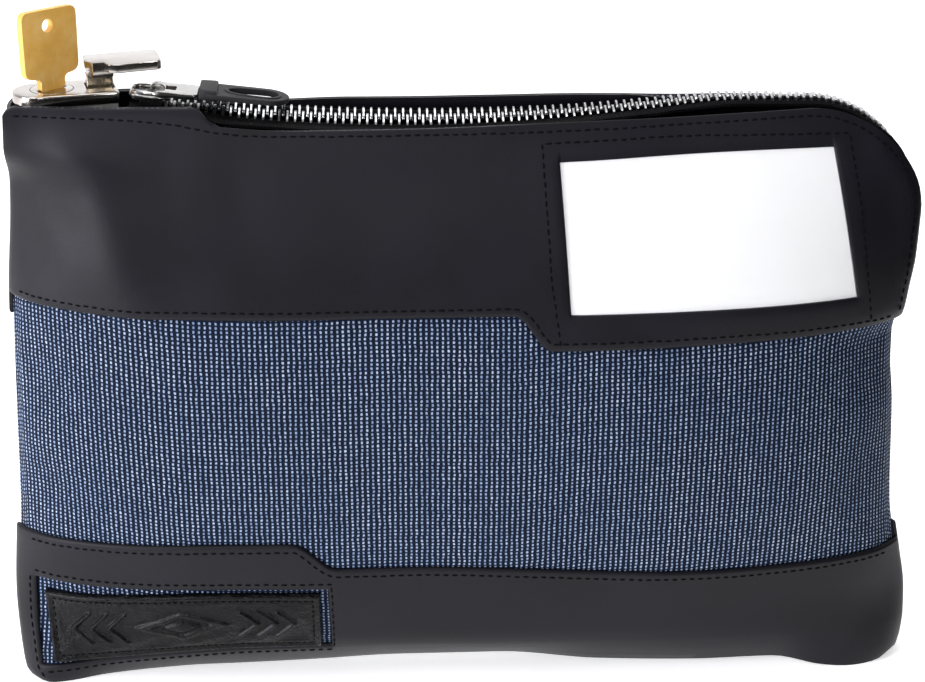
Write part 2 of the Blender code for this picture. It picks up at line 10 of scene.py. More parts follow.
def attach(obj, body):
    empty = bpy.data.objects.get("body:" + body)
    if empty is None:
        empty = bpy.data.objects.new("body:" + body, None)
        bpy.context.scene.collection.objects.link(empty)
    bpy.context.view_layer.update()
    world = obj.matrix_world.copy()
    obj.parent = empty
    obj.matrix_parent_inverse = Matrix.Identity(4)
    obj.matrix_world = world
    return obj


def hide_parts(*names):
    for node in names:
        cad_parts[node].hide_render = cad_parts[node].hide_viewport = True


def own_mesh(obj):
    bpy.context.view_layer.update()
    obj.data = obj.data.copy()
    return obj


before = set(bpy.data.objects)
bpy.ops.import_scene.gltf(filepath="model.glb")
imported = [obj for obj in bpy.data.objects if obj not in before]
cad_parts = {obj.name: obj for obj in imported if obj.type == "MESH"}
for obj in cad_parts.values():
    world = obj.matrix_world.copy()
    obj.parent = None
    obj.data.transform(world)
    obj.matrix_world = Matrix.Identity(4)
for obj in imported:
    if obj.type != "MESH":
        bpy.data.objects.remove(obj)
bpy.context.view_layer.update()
MM = 0.001
RNG = np.random.default_rng(7)

# ------------------------------------------------------------------ camera
AZ, EL, DIST = math.radians(-3.0), math.radians(22.0), 0.60
TARGET = Vector((0, 0, 0.099))
MM_PER_PX = 0.275
back = Vector((math.sin(AZ) * math.cos(EL), -math.cos(AZ) * math.cos(EL), math.sin(EL)))
cam_data = bpy.data.cameras.new("camera")
cam_data.sensor_width = 36.0
cam_data.lens = 36.0 * (DIST / (MM_PER_PX * MM)) / 925.0
cam_data.clip_start = 0.01
cam = bpy.data.objects.new("camera", cam_data)
bpy.context.scene.collection.objects.link(cam)
cam.location = TARGET + back * DIST
cam.rotation_euler = (-back).to_track_quat("-Z", "Y").to_euler()
bpy.context.scene.camera = cam


# ------------------------------------------------------------------ shape of the bag (same rules as the CAD, smoothed)
BELLY, BELLY_Z, BASE_HALF, SEAM = 28.0, 88.0, 11.0, 0.15
PANEL_T, GAP, FABRIC_T = 1.1, 0.3, 0.8
CHAIN_X0, CHAIN_Z0, CHAIN_R = -5.0, 162.6, 528.0
CHAIN_START, CHAIN_ARC_END = -86.8, 60.0
CORNER_X, CORNER_Z, CORNER_R = 90.8, 136.4, 32.3
TOP_Z_RIGHT = CORNER_Z + CORNER_R
LEFT_EDGE = [(0, -123.8), (2, -125.8), (8, -126.8), (22, -127.2), (53, -125.1), (84, -123.9), (117, -122.3),
             (141, -120.1), (168.7, -118.8)]
RIGHT_EDGE = [(0, 124.5), (2, 127.0), (6, 128.4), (12, 129.0), (20, 128.6), (33, 126.3), (48, 123.7), (80, 122.0),
              (92, 120.7), (104, 120.4), (114, 121.4), (124, 122.7), (136.4, 123.1)]
TOP_GAP = [(-119, 9.5), (-100, 12.2), (-60, 13.0), (0, 12.0), (35, 9.5), (60, 7.2), (91, 6.3)]


def curve_table(points):
    """Monotone cubic through the points, as a function of an array."""
    xs, ys = np.array([p[0] for p in points], float), np.array([p[1] for p in points], float)
    d = np.diff(ys) / np.diff(xs)
    m = np.zeros(len(xs))
    m[0], m[-1] = d[0], d[-1]
    for k in range(1, len(xs) - 1):
        m[k] = 0.0 if d[k - 1] * d[k] <= 0 else 2 * d[k - 1] * d[k] / (d[k - 1] + d[k])

    def f(x):
        x = np.clip(np.asarray(x, float), xs[0], xs[-1])
        i = np.clip(np.searchsorted(xs, x) - 1, 0, len(xs) - 2)
        h = xs[i + 1] - xs[i]
        t = (x - xs[i]) / h
        return ((2 * t**3 - 3 * t**2 + 1) * ys[i] + (t**3 - 2 * t**2 + t) * h * m[i]
                + (-2 * t**3 + 3 * t**2) * ys[i + 1] + (t**3 - t**2) * h * m[i + 1])
    return f


left_edge, right_low, top_gap = curve_table(LEFT_EDGE), curve_table(RIGHT_EDGE), curve_table(TOP_GAP)


def smooth01(t):
    t = np.clip(t, 0.0, 1.0)
    return t * t * (3 - 2 * t)


def blend_at(x, x0, v0, x1, v1):
    return v0 + (v1 - v0) * smooth01((x - x0) / (x1 - x0))


def right_edge(z):
    z = np.asarray(z, float)
    return np.where(z > CORNER_Z, CORNER_X + np.sqrt(np.maximum(CORNER_R**2 - (z - CORNER_Z) ** 2, 0)), right_low(z))


def chain_z(x):
    x = np.asarray(x, float)
    arc = CHAIN_Z0 + CHAIN_R - np.sqrt(CHAIN_R**2 - (np.minimum(x, CHAIN_ARC_END) - CHAIN_X0) ** 2)
    t = np.clip((x - CHAIN_ARC_END) / (CORNER_X - CHAIN_ARC_END), 0, 1)
    z0 = CHAIN_Z0 + CHAIN_R - math.sqrt(CHAIN_R**2 - (CHAIN_ARC_END - CHAIN_X0) ** 2)
    slope = (CHAIN_ARC_END - CHAIN_X0) / CHAIN_R * (CORNER_X - CHAIN_ARC_END)
    late = ((2 * t**3 - 3 * t**2 + 1) * z0 + (t**3 - 2 * t**2 + t) * slope
            + (-2 * t**3 + 3 * t**2) * (TOP_Z_RIGHT - 0.8))
    return np.where(x > CHAIN_ARC_END, late, arc)


TOP_EDGE = [(-66, 165.3), (-44, 163.4), (-17, 163.3), (9, 163.7), (36, 165.3), (63, 167.2), (78, 168.2), (90.8, 168.7)]
top_edge = curve_table(TOP_EDGE)


def top_z(x):
    low = top_edge(x)
    return low + (168.6 - low) * smooth01((-64.5 - x) / 4.0)


def side_gap_right(z):
    return SEAM + 6.05 * smooth01((z - 99) / 11)


def side_gap_left(z):
    return SEAM + 9.3 * smooth01((z - 147) / 13)


# the seam along the bottom: how far it stands forward of the middle, and how far the cloth pulls it up
FOOT_HALF = curve_table([(-128, 14), (-119.5, 13.5), (-114, 10.5), (-102.5, 5.0), (-88, 2.4), (-74, 1.3), (-46, 1.6), (-17.6, 2.0),
                         (10.8, 2.2), (39, 6), (67, 7), (90, 7.5), (104, 12), (113, 13.5), (130, 14)])
FOOT_LIFT = curve_table([(-128, 0), (-105, 0), (-74, 0.2), (-46, 1.0), (-17.6, 2.3), (10.8, 2.3), (39, 1.5), (67, 1.0), (90, 1.6),
                         (104, 0.4), (115, 0), (130, 0)])


def cut_bottom(x): return blend_at(x, -125, 5.6, -60, 12.0)
def cut_top(x): return blend_at(x, -125, 32.5, -60, 34.2)
def band_low(x): return (blend_at(x, -47.5, 0, -35.5, 1) * (41.0 - blend_at(x, -125, 47.0, -60, 49.5))
                         + blend_at(x, -125, 47.0, -60, 49.5) - 5.0 * smooth01((x + 20) / 100))
def band_high(x): return blend_at(x, 12.5, 116.0, 22.0, 106.4)
def window_low(x): return blend_at(x, 0, 122.0, 30, 116.0)
def window_high(x): return 154.4 + 1.8 * smooth01((x - 10) / 75.0)


def waves(x, z):
    """Soft creases of the stuffed cloth, outward positive."""
    xl, xr = left_edge(z), right_edge(z)
    dl, dr = x - xl, xr - x
    w = 0.55 * np.exp(-((dl - 9) / 7.0) ** 2) * np.sin(z / 5.6 + 0.6 * np.sin(z / 11.0))
    w += 0.6 * np.exp(-((dr - 9) / 7.0) ** 2) * np.sin(z / 6.1 + 1.2 + 0.7 * np.sin(z / 13.0))
    # long shallow dents
    w += 0.5 * np.sin(x / 23.0 + z / 31.0) * np.cos(z / 27.0 - x / 60.0)
    w += 0.25 * np.sin(x / 9.5 - z / 17.0 + 1.0) * np.sin(z / 12.0 + x / 35.0)
    # crease running in from the right-hand notch
    w -= 1.3 * np.exp(-((z - 101 - 0.10 * dr) / 4.2) ** 2) * np.exp(-dr / 22.0)
    w -= 0.7 * np.exp(-((z - 150 + 0.55 * dl) / 6.0) ** 2) * np.exp(-dl / 26.0)
    # folds that hang from the ends of the lock
    w += 2.3 * np.exp(-((x + 97 - 0.26 * (152 - z)) / 11.0) ** 2) * smooth01((z - 98) / 34.0)
    w -= 1.1 * np.exp(-((x + 60 - 0.25 * (155 - z)) / 6.5) ** 2) * smooth01((z - 126) / 24.0)
    w += 0.6 * np.exp(-((x + 115 - 0.5 * (148 - z)) / 5.0) ** 2) * np.exp(-((z - 134) / 16.0) ** 2)
    w -= 0.7 * np.exp(-((x + 78 - 0.2 * (155 - z)) / 5.0) ** 2) * smooth01((z - 134) / 20.0)
    fade = smooth01(np.minimum(dl, dr) / 7.0) * smooth01(z / 9.0) * smooth01((top_z(x) - z) / 12.0)
    flat = 1 - 0.75 * smooth01((x - 15) / 8) * smooth01((z - 108) / 6) * smooth01((112 - x) / 6)
    return w * fade * flat


def half_thickness(x, z):
    xl, xr = left_edge(z), right_edge(z)
    u = np.clip((x - xl) / np.maximum(xr - xl, 1), 0, 1)
    a = np.abs(2 * u - 1)
    blunt = 1 - smooth01(z / 25.0)
    gx = (1 - blunt) * np.maximum(1 - a**4, 0.0) ** 0.7 + blunt * np.maximum(1 - a**10, 0.0) ** 0.5
    side = np.where(u < 0.5, side_gap_left(z), side_gap_right(z))
    side = np.maximum(side, 1.3 * (1 - smooth01(z / 8)))
    low = gx * (BELLY - (BELLY - BASE_HALF) * (1 - np.minimum(z, BELLY_Z) / BELLY_Z) ** 2) + a**8 * side
    low = low - gx * (BASE_HALF - FOOT_HALF(x)) * (1 - np.clip(z / 18.0, 0, 1)) ** 2
    low_top = top_edge(x)
    top = low_top + (168.6 - low_top) * smooth01((-48 - x) / 34.0)
    s = np.clip((z - BELLY_Z) / (top - BELLY_Z), 0, 1) ** 2.2
    gap = s * top_gap(x)
    high = (1 - s) * gx * BELLY + gap + a**8 * (side - gap)
    return np.where(z < BELLY_Z, low, high)


def surf(x, z):
    x, z = np.asarray(x, float), np.asarray(z, float)
    y = -(half_thickness(x, z) + waves(x, z))
    return np.stack([x, np.minimum(y, -0.05), z + FOOT_LIFT(x) * (1 - smooth01(z / 16.0))], -1)


def surf_normal(x, z, e=0.35):
    x, z = np.asarray(x, float), np.asarray(z, float)
    dx = surf(x + e, z) - surf(x - e, z)
    dz = surf(x, z + e) - surf(x, z - e)
    n = np.cross(dx, dz)
    return n / np.maximum(np.linalg.norm(n, axis=-1, keepdims=True), 1e-9)


# ------------------------------------------------------------------ materials
def new_material(name):
    mat = bpy.data.materials.new(name)
    mat.use_nodes = True
    nt = mat.node_tree
    return mat, nt, nt.nodes["Principled BSDF"]


class Nodes:
    """Small helper for node graphs."""

    def __init__(self, nt):
        self.nt = nt

    def node(self, kind, **props):
        n = self.nt.nodes.new(kind)
        for k, v in props.items():
            setattr(n, k, v)
        return n

    def link(self, a, b):
        self.nt.links.new(a, b)

    def math(self, op, a, b=None, clamp=False):
        n = self.node("ShaderNodeMath", operation=op, use_clamp=clamp)
        for k, v in enumerate((a, b)):
            if v is None:
                continue
            if isinstance(v, (int, float)):
                n.inputs[k].default_value = v
            else:
                self.link(v, n.inputs[k])
        return n.outputs[0]

    def noise(self, vector, scale, detail=3.0, rough=0.5, distortion=0.0):
        n = self.node("ShaderNodeTexNoise")
        n.inputs["Scale"].default_value = scale
        n.inputs["Detail"].default_value = detail
        n.inputs["Roughness"].default_value = rough
        n.inputs["Distortion"].default_value = distortion
        self.link(vector, n.inputs["Vector"])
        return n.outputs["Fac"]

    def ramp(self, fac, stops):
        n = self.node("ShaderNodeValToRGB")
        while len(n.color_ramp.elements) < len(stops):
            n.color_ramp.elements.new(0.5)
        for e, (p, c) in zip(n.color_ramp.elements, stops):
            e.position = p
            e.color = (*c, 1) if isinstance(c, tuple) else (c, c, c, 1)
        self.link(fac, n.inputs["Fac"])
        return n.outputs["Color"]

    def mix(self, fac, a, b, blend="MIX"):
        n = self.node("ShaderNodeMix", data_type="RGBA", blend_type=blend)
        for s, v in ((n.inputs["Factor"], fac), (n.inputs["A"], a), (n.inputs["B"], b)):
            pass
        rgba = [i for i in n.inputs if i.type == "RGBA"]
        if isinstance(fac, (int, float)):
            n.inputs[0].default_value = fac
        else:
            self.link(fac, n.inputs[0])
        for s, v in zip(rgba, (a, b)):
            if isinstance(v, tuple):
                s.default_value = (*v, 1)
            else:
                self.link(v, s)
        return [o for o in n.outputs if o.type == "RGBA"][0]

    def bump(self, height, strength, distance, normal=None):
        n = self.node("ShaderNodeBump")
        n.inputs["Strength"].default_value = strength
        n.inputs["Distance"].default_value = distance
        self.link(height, n.inputs["Height"])
        if normal is not None:
            self.link(normal, n.inputs["Normal"])
        return n.outputs["Normal"]

    def coords(self, which="Object"):
        return self.node("ShaderNodeTexCoord").outputs[which]

    def step(self, value, low, high):
        """Smooth step from 0 at low to 1 at high."""
        n = self.node("ShaderNodeMapRange", interpolation_type="SMOOTHSTEP")
        n.inputs["From Min"].default_value = low
        n.inputs["From Max"].default_value = high
        self.link(value, n.inputs["Value"])
        return n.outputs["Result"]


def vinyl_material(name="vinyl", tone=0.0072, rough=0.45):
    mat, nt, bsdf = new_material(name)
    g = Nodes(nt)
    co = g.coords()
    big = g.noise(co, 38.0, 2.0)
    fine = g.noise(co, 900.0, 3.0, 0.6)
    vor = g.node("ShaderNodeTexVoronoi", feature="DISTANCE_TO_EDGE")
    vor.inputs["Scale"].default_value = 1500.0
    g.link(co, vor.inputs["Vector"])
    grain = g.math("MULTIPLY", g.step(vor.outputs["Distance"], 0.0, 0.22), 0.6)
    height = g.math("ADD", grain, g.math("MULTIPLY", fine, 0.5))
    colour = g.mix(g.step(big, 0.35, 0.65), (tone * 0.85, tone * 0.83, tone * 1.25), (tone * 1.05, tone * 1.02, tone * 1.6))
    speck = g.noise(co, 2600.0, 1.0)
    colour = g.mix(g.math("MULTIPLY", g.step(speck, 0.62, 0.8), 0.25), colour, (tone * 2.2, tone * 2.2, tone * 2.4))
    g.link(colour, bsdf.inputs["Base Color"])
    g.link(g.math("ADD", g.math("MULTIPLY", big, 0.10), rough - 0.05), bsdf.inputs["Roughness"])
    g.link(g.bump(height, 0.22, 0.00012), bsdf.inputs["Normal"])
    bsdf.inputs["Specular IOR Level"].default_value = 0.20
    return mat


def weave_material():
    """Plain weave seen as a square grid of pale floats over dark navy; UV is one unit per repeat."""
    mat, nt, bsdf = new_material("weave")
    g = Nodes(nt)
    uv = g.coords("UV")
    sep = g.node("ShaderNodeSeparateXYZ")
    wob = g.noise(uv, 0.35, 2.0)
    warp = g.node("ShaderNodeVectorMath", operation="ADD")
    mul = g.node("ShaderNodeVectorMath", operation="SCALE")
    cen = g.node("ShaderNodeTexNoise")
    cen.inputs["Scale"].default_value = 0.45
    cen.inputs["Detail"].default_value = 3.0
    g.link(uv, cen.inputs["Vector"])
    sub = g.node("ShaderNodeVectorMath", operation="SUBTRACT")
    sub.inputs[1].default_value = (0.5, 0.5, 0.5)
    g.link(cen.outputs["Color"], sub.inputs[0])
    g.link(sub.outputs[0], mul.inputs[0])
    mul.inputs["Scale"].default_value = 0.55
    g.link(uv, warp.inputs[0])
    g.link(mul.outputs[0], warp.inputs[1])
    g.link(warp.outputs[0], sep.inputs[0])
    fx = g.math("SUBTRACT", g.math("FRACT", sep.outputs[0]), 0.5)
    fy = g.math("SUBTRACT", g.math("FRACT", sep.outputs[1]), 0.5)
    ax, ay = g.math("ABSOLUTE", fx), g.math("ABSOLUTE", fy)
    # pale warp float in the middle of each cell
    d = g.math("POWER", g.math("ADD", g.math("POWER", g.math("DIVIDE", ax, 0.225), 3.0),
                               g.math("POWER", g.math("DIVIDE", ay, 0.34), 3.0)), 1 / 3.0)
    dot = g.math("SUBTRACT", 1.0, g.step(d, 0.70, 1.08))
    # pick-wise strands between the floats
    cross = g.math("SUBTRACT", 1.0, g.step(ax, 0.28, 0.42))
    corner = g.math("MULTIPLY", g.step(ax, 0.24, 0.36), g.math("SUBTRACT", 1.0, g.step(ay, 0.16, 0.34)))
    pick = g.step(ay, 0.36, 0.44)
    cell = g.node("ShaderNodeVectorMath", operation="FLOOR")
    g.link(warp.outputs[0], cell.inputs[0])
    white = g.node("ShaderNodeTexWhiteNoise", noise_dimensions="2D")
    g.link(cell.outputs[0], white.inputs["Vector"])
    rnd = white.outputs["Value"]
    sc = g.node("ShaderNodeSeparateXYZ")
    g.link(cell.outputs[0], sc.inputs[0])
    colw = g.node("ShaderNodeTexWhiteNoise", noise_dimensions="1D")
    g.link(sc.outputs[0], colw.inputs["W"])
    roww = g.node("ShaderNodeTexWhiteNoise", noise_dimensions="1D")
    g.link(g.math("ADD", sc.outputs[1], 77.3), roww.inputs["W"])
    base = g.mix(g.step(rnd, 0.2, 0.9), (0.0015, 0.0050, 0.016), (0.0040, 0.012, 0.033))
    base = g.mix(g.math("MULTIPLY", pick, 0.75), base, (0.007, 0.017, 0.045))
    base = g.mix(g.math("MULTIPLY", corner, 0.85), base, (0.0015, 0.002, 0.007))
    pale = g.mix(rnd, (0.24, 0.31, 0.47), (0.55, 0.62, 0.77))
    pale = g.mix(g.math("MULTIPLY", colw.outputs["Value"], 0.45), pale, (0.13, 0.22, 0.42))
    pale = g.mix(g.math("MULTIPLY", roww.outputs["Value"], 0.25), pale, (0.15, 0.24, 0.42))
    patch = g.noise(uv, 0.06, 2.0)
    pale = g.mix(g.math("MULTIPLY", g.step(patch, 0.35, 0.7), 0.3), pale, (0.12, 0.21, 0.42))
    colour = g.mix(dot, base, pale)
    g.link(colour, bsdf.inputs["Base Color"])
    height = g.math("ADD", g.math("MULTIPLY", dot, 1.0), g.math("MULTIPLY", pick, 0.35))
    fibre = g.noise(uv, 9.0, 2.0)
    height = g.math("ADD", height, g.math("MULTIPLY", fibre, 0.15))
    g.link(g.bump(height, 0.7, 0.0003), bsdf.inputs["Normal"])
    g.link(g.math("SUBTRACT", 0.72, g.math("MULTIPLY", dot, 0.2)), bsdf.inputs["Roughness"])
    bsdf.inputs["Specular IOR Level"].default_value = 0.12
    return mat


def metal_material(name, colour, rough, scratch=0.5, dark=(0.2, 0.2, 0.2), cloud=0.15):
    mat, nt, bsdf = new_material(name)
    g = Nodes(nt)
    co = g.coords()
    cl = g.noise(co, 220.0, 3.0)
    st = g.node("ShaderNodeMapping")
    st.inputs["Scale"].default_value = (260.0, 2600.0, 2600.0)
    g.link(co, st.inputs["Vector"])
    lines = g.noise(st.outputs["Vector"], 1.0, 2.0)
    col = g.mix(g.math("MULTIPLY", g.step(cl, 0.42, 0.75), cloud), colour, dark)
    g.link(col, bsdf.inputs["Base Color"])
    bsdf.inputs["Metallic"].default_value = 1.0
    r = g.math("ADD", g.math("MULTIPLY", cl, 0.12), rough - 0.05)
    g.link(g.math("ADD", r, g.math("MULTIPLY", lines, 0.06)), bsdf.inputs["Roughness"])
    g.link(g.bump(g.math("ADD", g.math("MULTIPLY", cl, 0.5), lines), 0.12 * scratch, 0.00008), bsdf.inputs["Normal"])
    return mat


def brass_material():
    mat, nt, bsdf = new_material("brass_worn")
    g = Nodes(nt)
    co = g.coords()
    a = g.noise(co, 150.0, 4.0, 0.6)
    b = g.noise(co, 900.0, 3.0, 0.6)
    col = g.ramp(a, [(0.30, (0.88, 0.46, 0.08)), (0.52, (0.96, 0.55, 0.13)), (0.72, (0.99, 0.63, 0.20))])
    col = g.mix(g.math("MULTIPLY", g.step(b, 0.6, 0.75), 0.25), col, (0.56, 0.31, 0.07))
    g.link(col, bsdf.inputs["Base Color"])
    bsdf.inputs["Metallic"].default_value = 0.35
    g.link(g.math("ADD", g.math("MULTIPLY", a, 0.2), 0.30), bsdf.inputs["Roughness"])
    g.link(g.bump(g.math("ADD", a, g.math("MULTIPLY", b, 0.4)), 0.12, 0.0002), bsdf.inputs["Normal"])
    return mat


def tape_material():
    mat, nt, bsdf = new_material("zip_tape_weave")
    g = Nodes(nt)
    uv = g.coords("UV")
    sep = g.node("ShaderNodeSeparateXYZ")
    g.link(uv, sep.inputs[0])
    rib = g.math("ABSOLUTE", g.math("SUBTRACT", g.math("FRACT", g.math("ADD", g.math("MULTIPLY", sep.outputs[0], 1.0),
                                    g.math("MULTIPLY", g.math("ABSOLUTE", g.math("SUBTRACT", g.math("FRACT", sep.outputs[1]), 0.5)), 1.0))), 0.5))
    rows = g.math("ABSOLUTE", g.math("SUBTRACT", g.math("FRACT", sep.outputs[1]), 0.5))
    h = g.math("ADD", rib, g.math("MULTIPLY", rows, 1.2))
    col = g.mix(g.step(h, 0.3, 0.9), (0.001, 0.001, 0.0015), (0.006, 0.006, 0.007))
    g.link(col, bsdf.inputs["Base Color"])
    bsdf.inputs["Roughness"].default_value = 0.85
    bsdf.inputs["Specular IOR Level"].default_value = 0.08
    g.link(g.bump(h, 0.8, 0.0003), bsdf.inputs["Normal"])
    return mat


def thread_material():
    mat, nt, bsdf = new_material("thread")
    g = Nodes(nt)
    co = g.coords()
    n = g.noise(co, 4000.0, 2.0)
    g.link(g.mix(n, (0.001, 0.001, 0.0015), (0.004, 0.004, 0.005)), bsdf.inputs["Base Color"])
    g.link(g.math("ADD", g.math("MULTIPLY", n, 0.2), 0.7), bsdf.inputs["Roughness"])
    g.link(g.bump(n, 0.5, 0.0001), bsdf.inputs["Normal"])
    bsdf.inputs["Specular IOR Level"].default_value = 0.08
    return mat


def rubber_material():
    mat, nt, bsdf = new_material("grip_rubber_visual")
    g = Nodes(nt)
    co = g.coords()
    n = g.noise(co, 1800.0, 3.0)
    m = g.noise(co, 120.0, 2.0)
    g.link(g.mix(m, (0.012, 0.012, 0.0135), (0.019, 0.019, 0.021)), bsdf.inputs["Base Color"])
    bsdf.inputs["Specular IOR Level"].default_value = 0.3
    g.link(g.math("ADD", g.math("MULTIPLY", n, 0.15), 0.52), bsdf.inputs["Roughness"])
    g.link(g.bump(n, 0.25, 0.0001), bsdf.inputs["Normal"])
    return mat


def card_material():
    mat, nt, bsdf = new_material("card_white")
    g = Nodes(nt)
    co = g.coords()
    n = g.noise(co, 900.0, 4.0)
    g.link(g.mix(n, (0.95, 0.95, 0.95), (0.985, 0.985, 0.985)), bsdf.inputs["Base Color"])
    bsdf.inputs["Roughness"].default_value = 0.6
    g.link(g.bump(n, 0.05, 0.00005), bsdf.inputs["Normal"])
    return mat


def film_material():
    mat, nt, bsdf = new_material("film_clear")
    g = Nodes(nt)
    co = g.coords()
    n = g.noise(co, 30.0, 2.0)
    bsdf.inputs["Base Color"].default_value = (0.97, 0.98, 1.0, 1)
    g.link(g.math("ADD", g.math("MULTIPLY", n, 0.06), 0.04), bsdf.inputs["Roughness"])
    bsdf.inputs["Alpha"].default_value = 0.12
    bsdf.inputs["IOR"].default_value = 1.5
    g.link(g.bump(n, 0.1, 0.0005), bsdf.inputs["Normal"])
    return mat


def label_material():
    mat, nt, bsdf = new_material("label_gloss")
    g = Nodes(nt)
    co = g.coords()
    n = g.noise(co, 260.0, 4.0, 0.6)
    f = g.noise(co, 1600.0, 3.0)
    g.link(g.mix(n, (0.0008, 0.0008, 0.0012), (0.002, 0.002, 0.003)), bsdf.inputs["Base Color"])
    g.link(g.math("ADD", g.math("MULTIPLY", n, 0.18), 0.09), bsdf.inputs["Roughness"])
    bsdf.inputs["Specular IOR Level"].default_value = 0.13
    bsdf.inputs["Coat Weight"].default_value = 0.10
    bsdf.inputs["Coat Roughness"].default_value = 0.12
    g.link(g.bump(g.math("ADD", g.math("MULTIPLY", n, 1.0), g.math("MULTIPLY", f, 0.25)), 0.9, 0.0012),
           bsdf.inputs["Normal"])
    return mat


VINYL = vinyl_material()
WEAVE = weave_material()
NICKEL = metal_material("nickel_polished", (0.46, 0.43, 0.40), 0.12, 0.5, (0.34, 0.31, 0.28), 0.4)
ZIPMETAL = metal_material("zip_teeth", (0.50, 0.50, 0.51), 0.24, 0.6, (0.34, 0.34, 0.34), 0.3)
SLIDERM = metal_material("slider_plated", (0.43, 0.42, 0.41), 0.18, 0.5, (0.32, 0.32, 0.32), 0.3)
CASEM = metal_material("case_cast", (0.42, 0.42, 0.41), 0.42, 1.5, (0.25, 0.25, 0.25), 0.5)
STEELM = metal_material("steel_plain", (0.55, 0.55, 0.55), 0.3, 1.0)
STEMM = metal_material("stem_worn", (0.50, 0.43, 0.33), 0.22, 1.5, (0.30, 0.22, 0.13), 0.5)
BRASS = brass_material()
TAPE = tape_material()
THREAD = thread_material()
RUBBER = rubber_material()
CARD = card_material()
FILM = film_material()
LABEL = label_material()


# ------------------------------------------------------------------ mesh helpers
def add_object(name, verts, faces, mat, body, replaces=(), uvs=None, sharp=None, smooth=True):
    """verts in mm; uvs, if given, is one pair per vertex."""
    mesh = bpy.data.meshes.new(name)
    mesh.from_pydata([tuple(float(c) * MM for c in v) for v in verts], [], [tuple(int(i) for i in f) for f in faces])
    bm = bmesh.new()
    bm.from_mesh(mesh)
    bmesh.ops.recalc_face_normals(bm, faces=bm.faces[:])
    bm.to_mesh(mesh)
    bm.free()
    if uvs is not None:
        layer = mesh.uv_layers.new(name="UVMap")
        idx = np.empty(len(mesh.loops), np.int32)
        mesh.loops.foreach_get("vertex_index", idx)
        layer.data.foreach_set("uv", np.asarray(uvs, np.float32)[idx].ravel())
    if smooth:
        mesh.shade_smooth()
        if sharp:
            mesh.set_sharp_from_angle(angle=math.radians(sharp))
    obj = bpy.data.objects.new(name, mesh)
    bpy.context.scene.collection.objects.link(obj)
    mesh.materials.append(mat)
    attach(obj, body)
    if replaces:
        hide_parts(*replaces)
    return obj


def subdivided(a, b, most):
    n = max(1, int(math.ceil(abs(b - a) / most)))
    return [a + (b - a) * k / n for k in range(n)]


W = 248.0       # nominal width used to turn millimetres into u
STEP = 2.4 / W


def u_lines():
    keys = [0, .024, .349, .61, .93, 1]
    out = []
    near = [0.4 / W, 0.9 / W]
    for k, (a, b) in enumerate(zip(keys, keys[1:])):
        lo = [a] + ([a + d for d in near] if k > 0 else [a + 0.5 / W, a + 1.2 / W])
        hi = [b - d for d in near[::-1]] if k < len(keys) - 2 else [b - 1.2 / W, b - 0.5 / W]
        out += lo + subdivided(lo[-1], hi[0], STEP)[1:] + hi
    return np.array(out + [1.0])


def row_lines(front):
    """List of (function of x giving z) and the indices of the key rows."""
    if front:
        keys = [("zero", lambda x: 0 * x), ("cut_bottom", cut_bottom), ("cut_top", cut_top), ("band_low", band_low),
                ("band_high", band_high), ("window_low", window_low), ("window_high", window_high)]
        lengths = [10, 24, 12, 66, 10, 40]
    else:
        keys = [("zero", lambda x: 0 * x), ("band_low", lambda x: 41.0 + 0 * x), ("band_high", lambda x: 110.0 + 0 * x),
                ("window_high", window_high)]
        lengths = [41, 69, 46]
    rows, index = [], {}
    for k, (name, fn) in enumerate(keys):
        index[name] = len(rows)
        if k == len(keys) - 1:
            rows.append(fn)
            break
        nxt = keys[k + 1][1]
        rows.append(fn)
        if k > 0:
            rows += [lambda x, f=fn, d=d: f(x) + d for d in (0.4, 0.9)]
        n = max(2, int(lengths[k] / 2.4))
        for q in range(1, n):
            rows.append(lambda x, f=fn, g=nxt, t=q / n, m=0.9 * (k > 0): (f(x) + m) + (g(x) - 0.9 - f(x) - m) * t)
        rows += [lambda x, f=nxt, d=d: f(x) - d for d in (0.9, 0.4)]
    t0 = math.asin((156.0 - CORNER_Z) / CORNER_R)
    n = 14
    for q in range(1, n):
        t = t0 + (math.pi / 2 - t0) * q / n
        f = (math.sin(t) - math.sin(t0)) / (1 - math.sin(t0))
        rows.append(lambda x, f=f: window_high(x) + (top_z(x) - window_high(x)) * f)
    index["top"] = len(rows)
    return rows, index


U = u_lines()


def column(u):
    return int(np.argmin(np.abs(U - u)))


iL, iR, iWL, iWR = column(.024), column(.349), column(.61), column(.93)


BACK_RISE = curve_table([(-121, 0), (-82, 0), (-60, 0.5), (-46, 2.4), (-30, 3.2), (-18, 3.2), (11, 2.8), (39, 1.0), (60, -0.6), (80, -2.0),
                         (91, -3.2)])
FRONT_DROP = curve_table([(-10, 0), (9, 0), (36, 1.2), (55, 2.2), (67, 2.5), (80, 2.8), (91, 2.8)])
CORNER_DROP = curve_table([(0, 0), (12, 0.2), (28, 1.1), (45, 1.9), (60, 2.4), (90, 2.8)])


def straight_window(x, z):
    """Moves the columns beside the window sideways so that its left and right edges run straight."""
    inside = smooth01((z - 96) / 14.0) * smooth01((168 - z) / 10.0)
    for col, want in ((iWL, 27.2 - 2.6 * (z - 116) / 40.0), (iWR, 105.0 - 7.6 * (z - 116) / 40.0)):
        shift = want - x[..., col]
        reach = 0.11 if col == iWL else 0.065
        x = x + (inside * shift)[..., None] * np.maximum(1 - np.abs(U - U[col]) / reach, 0)
    return x


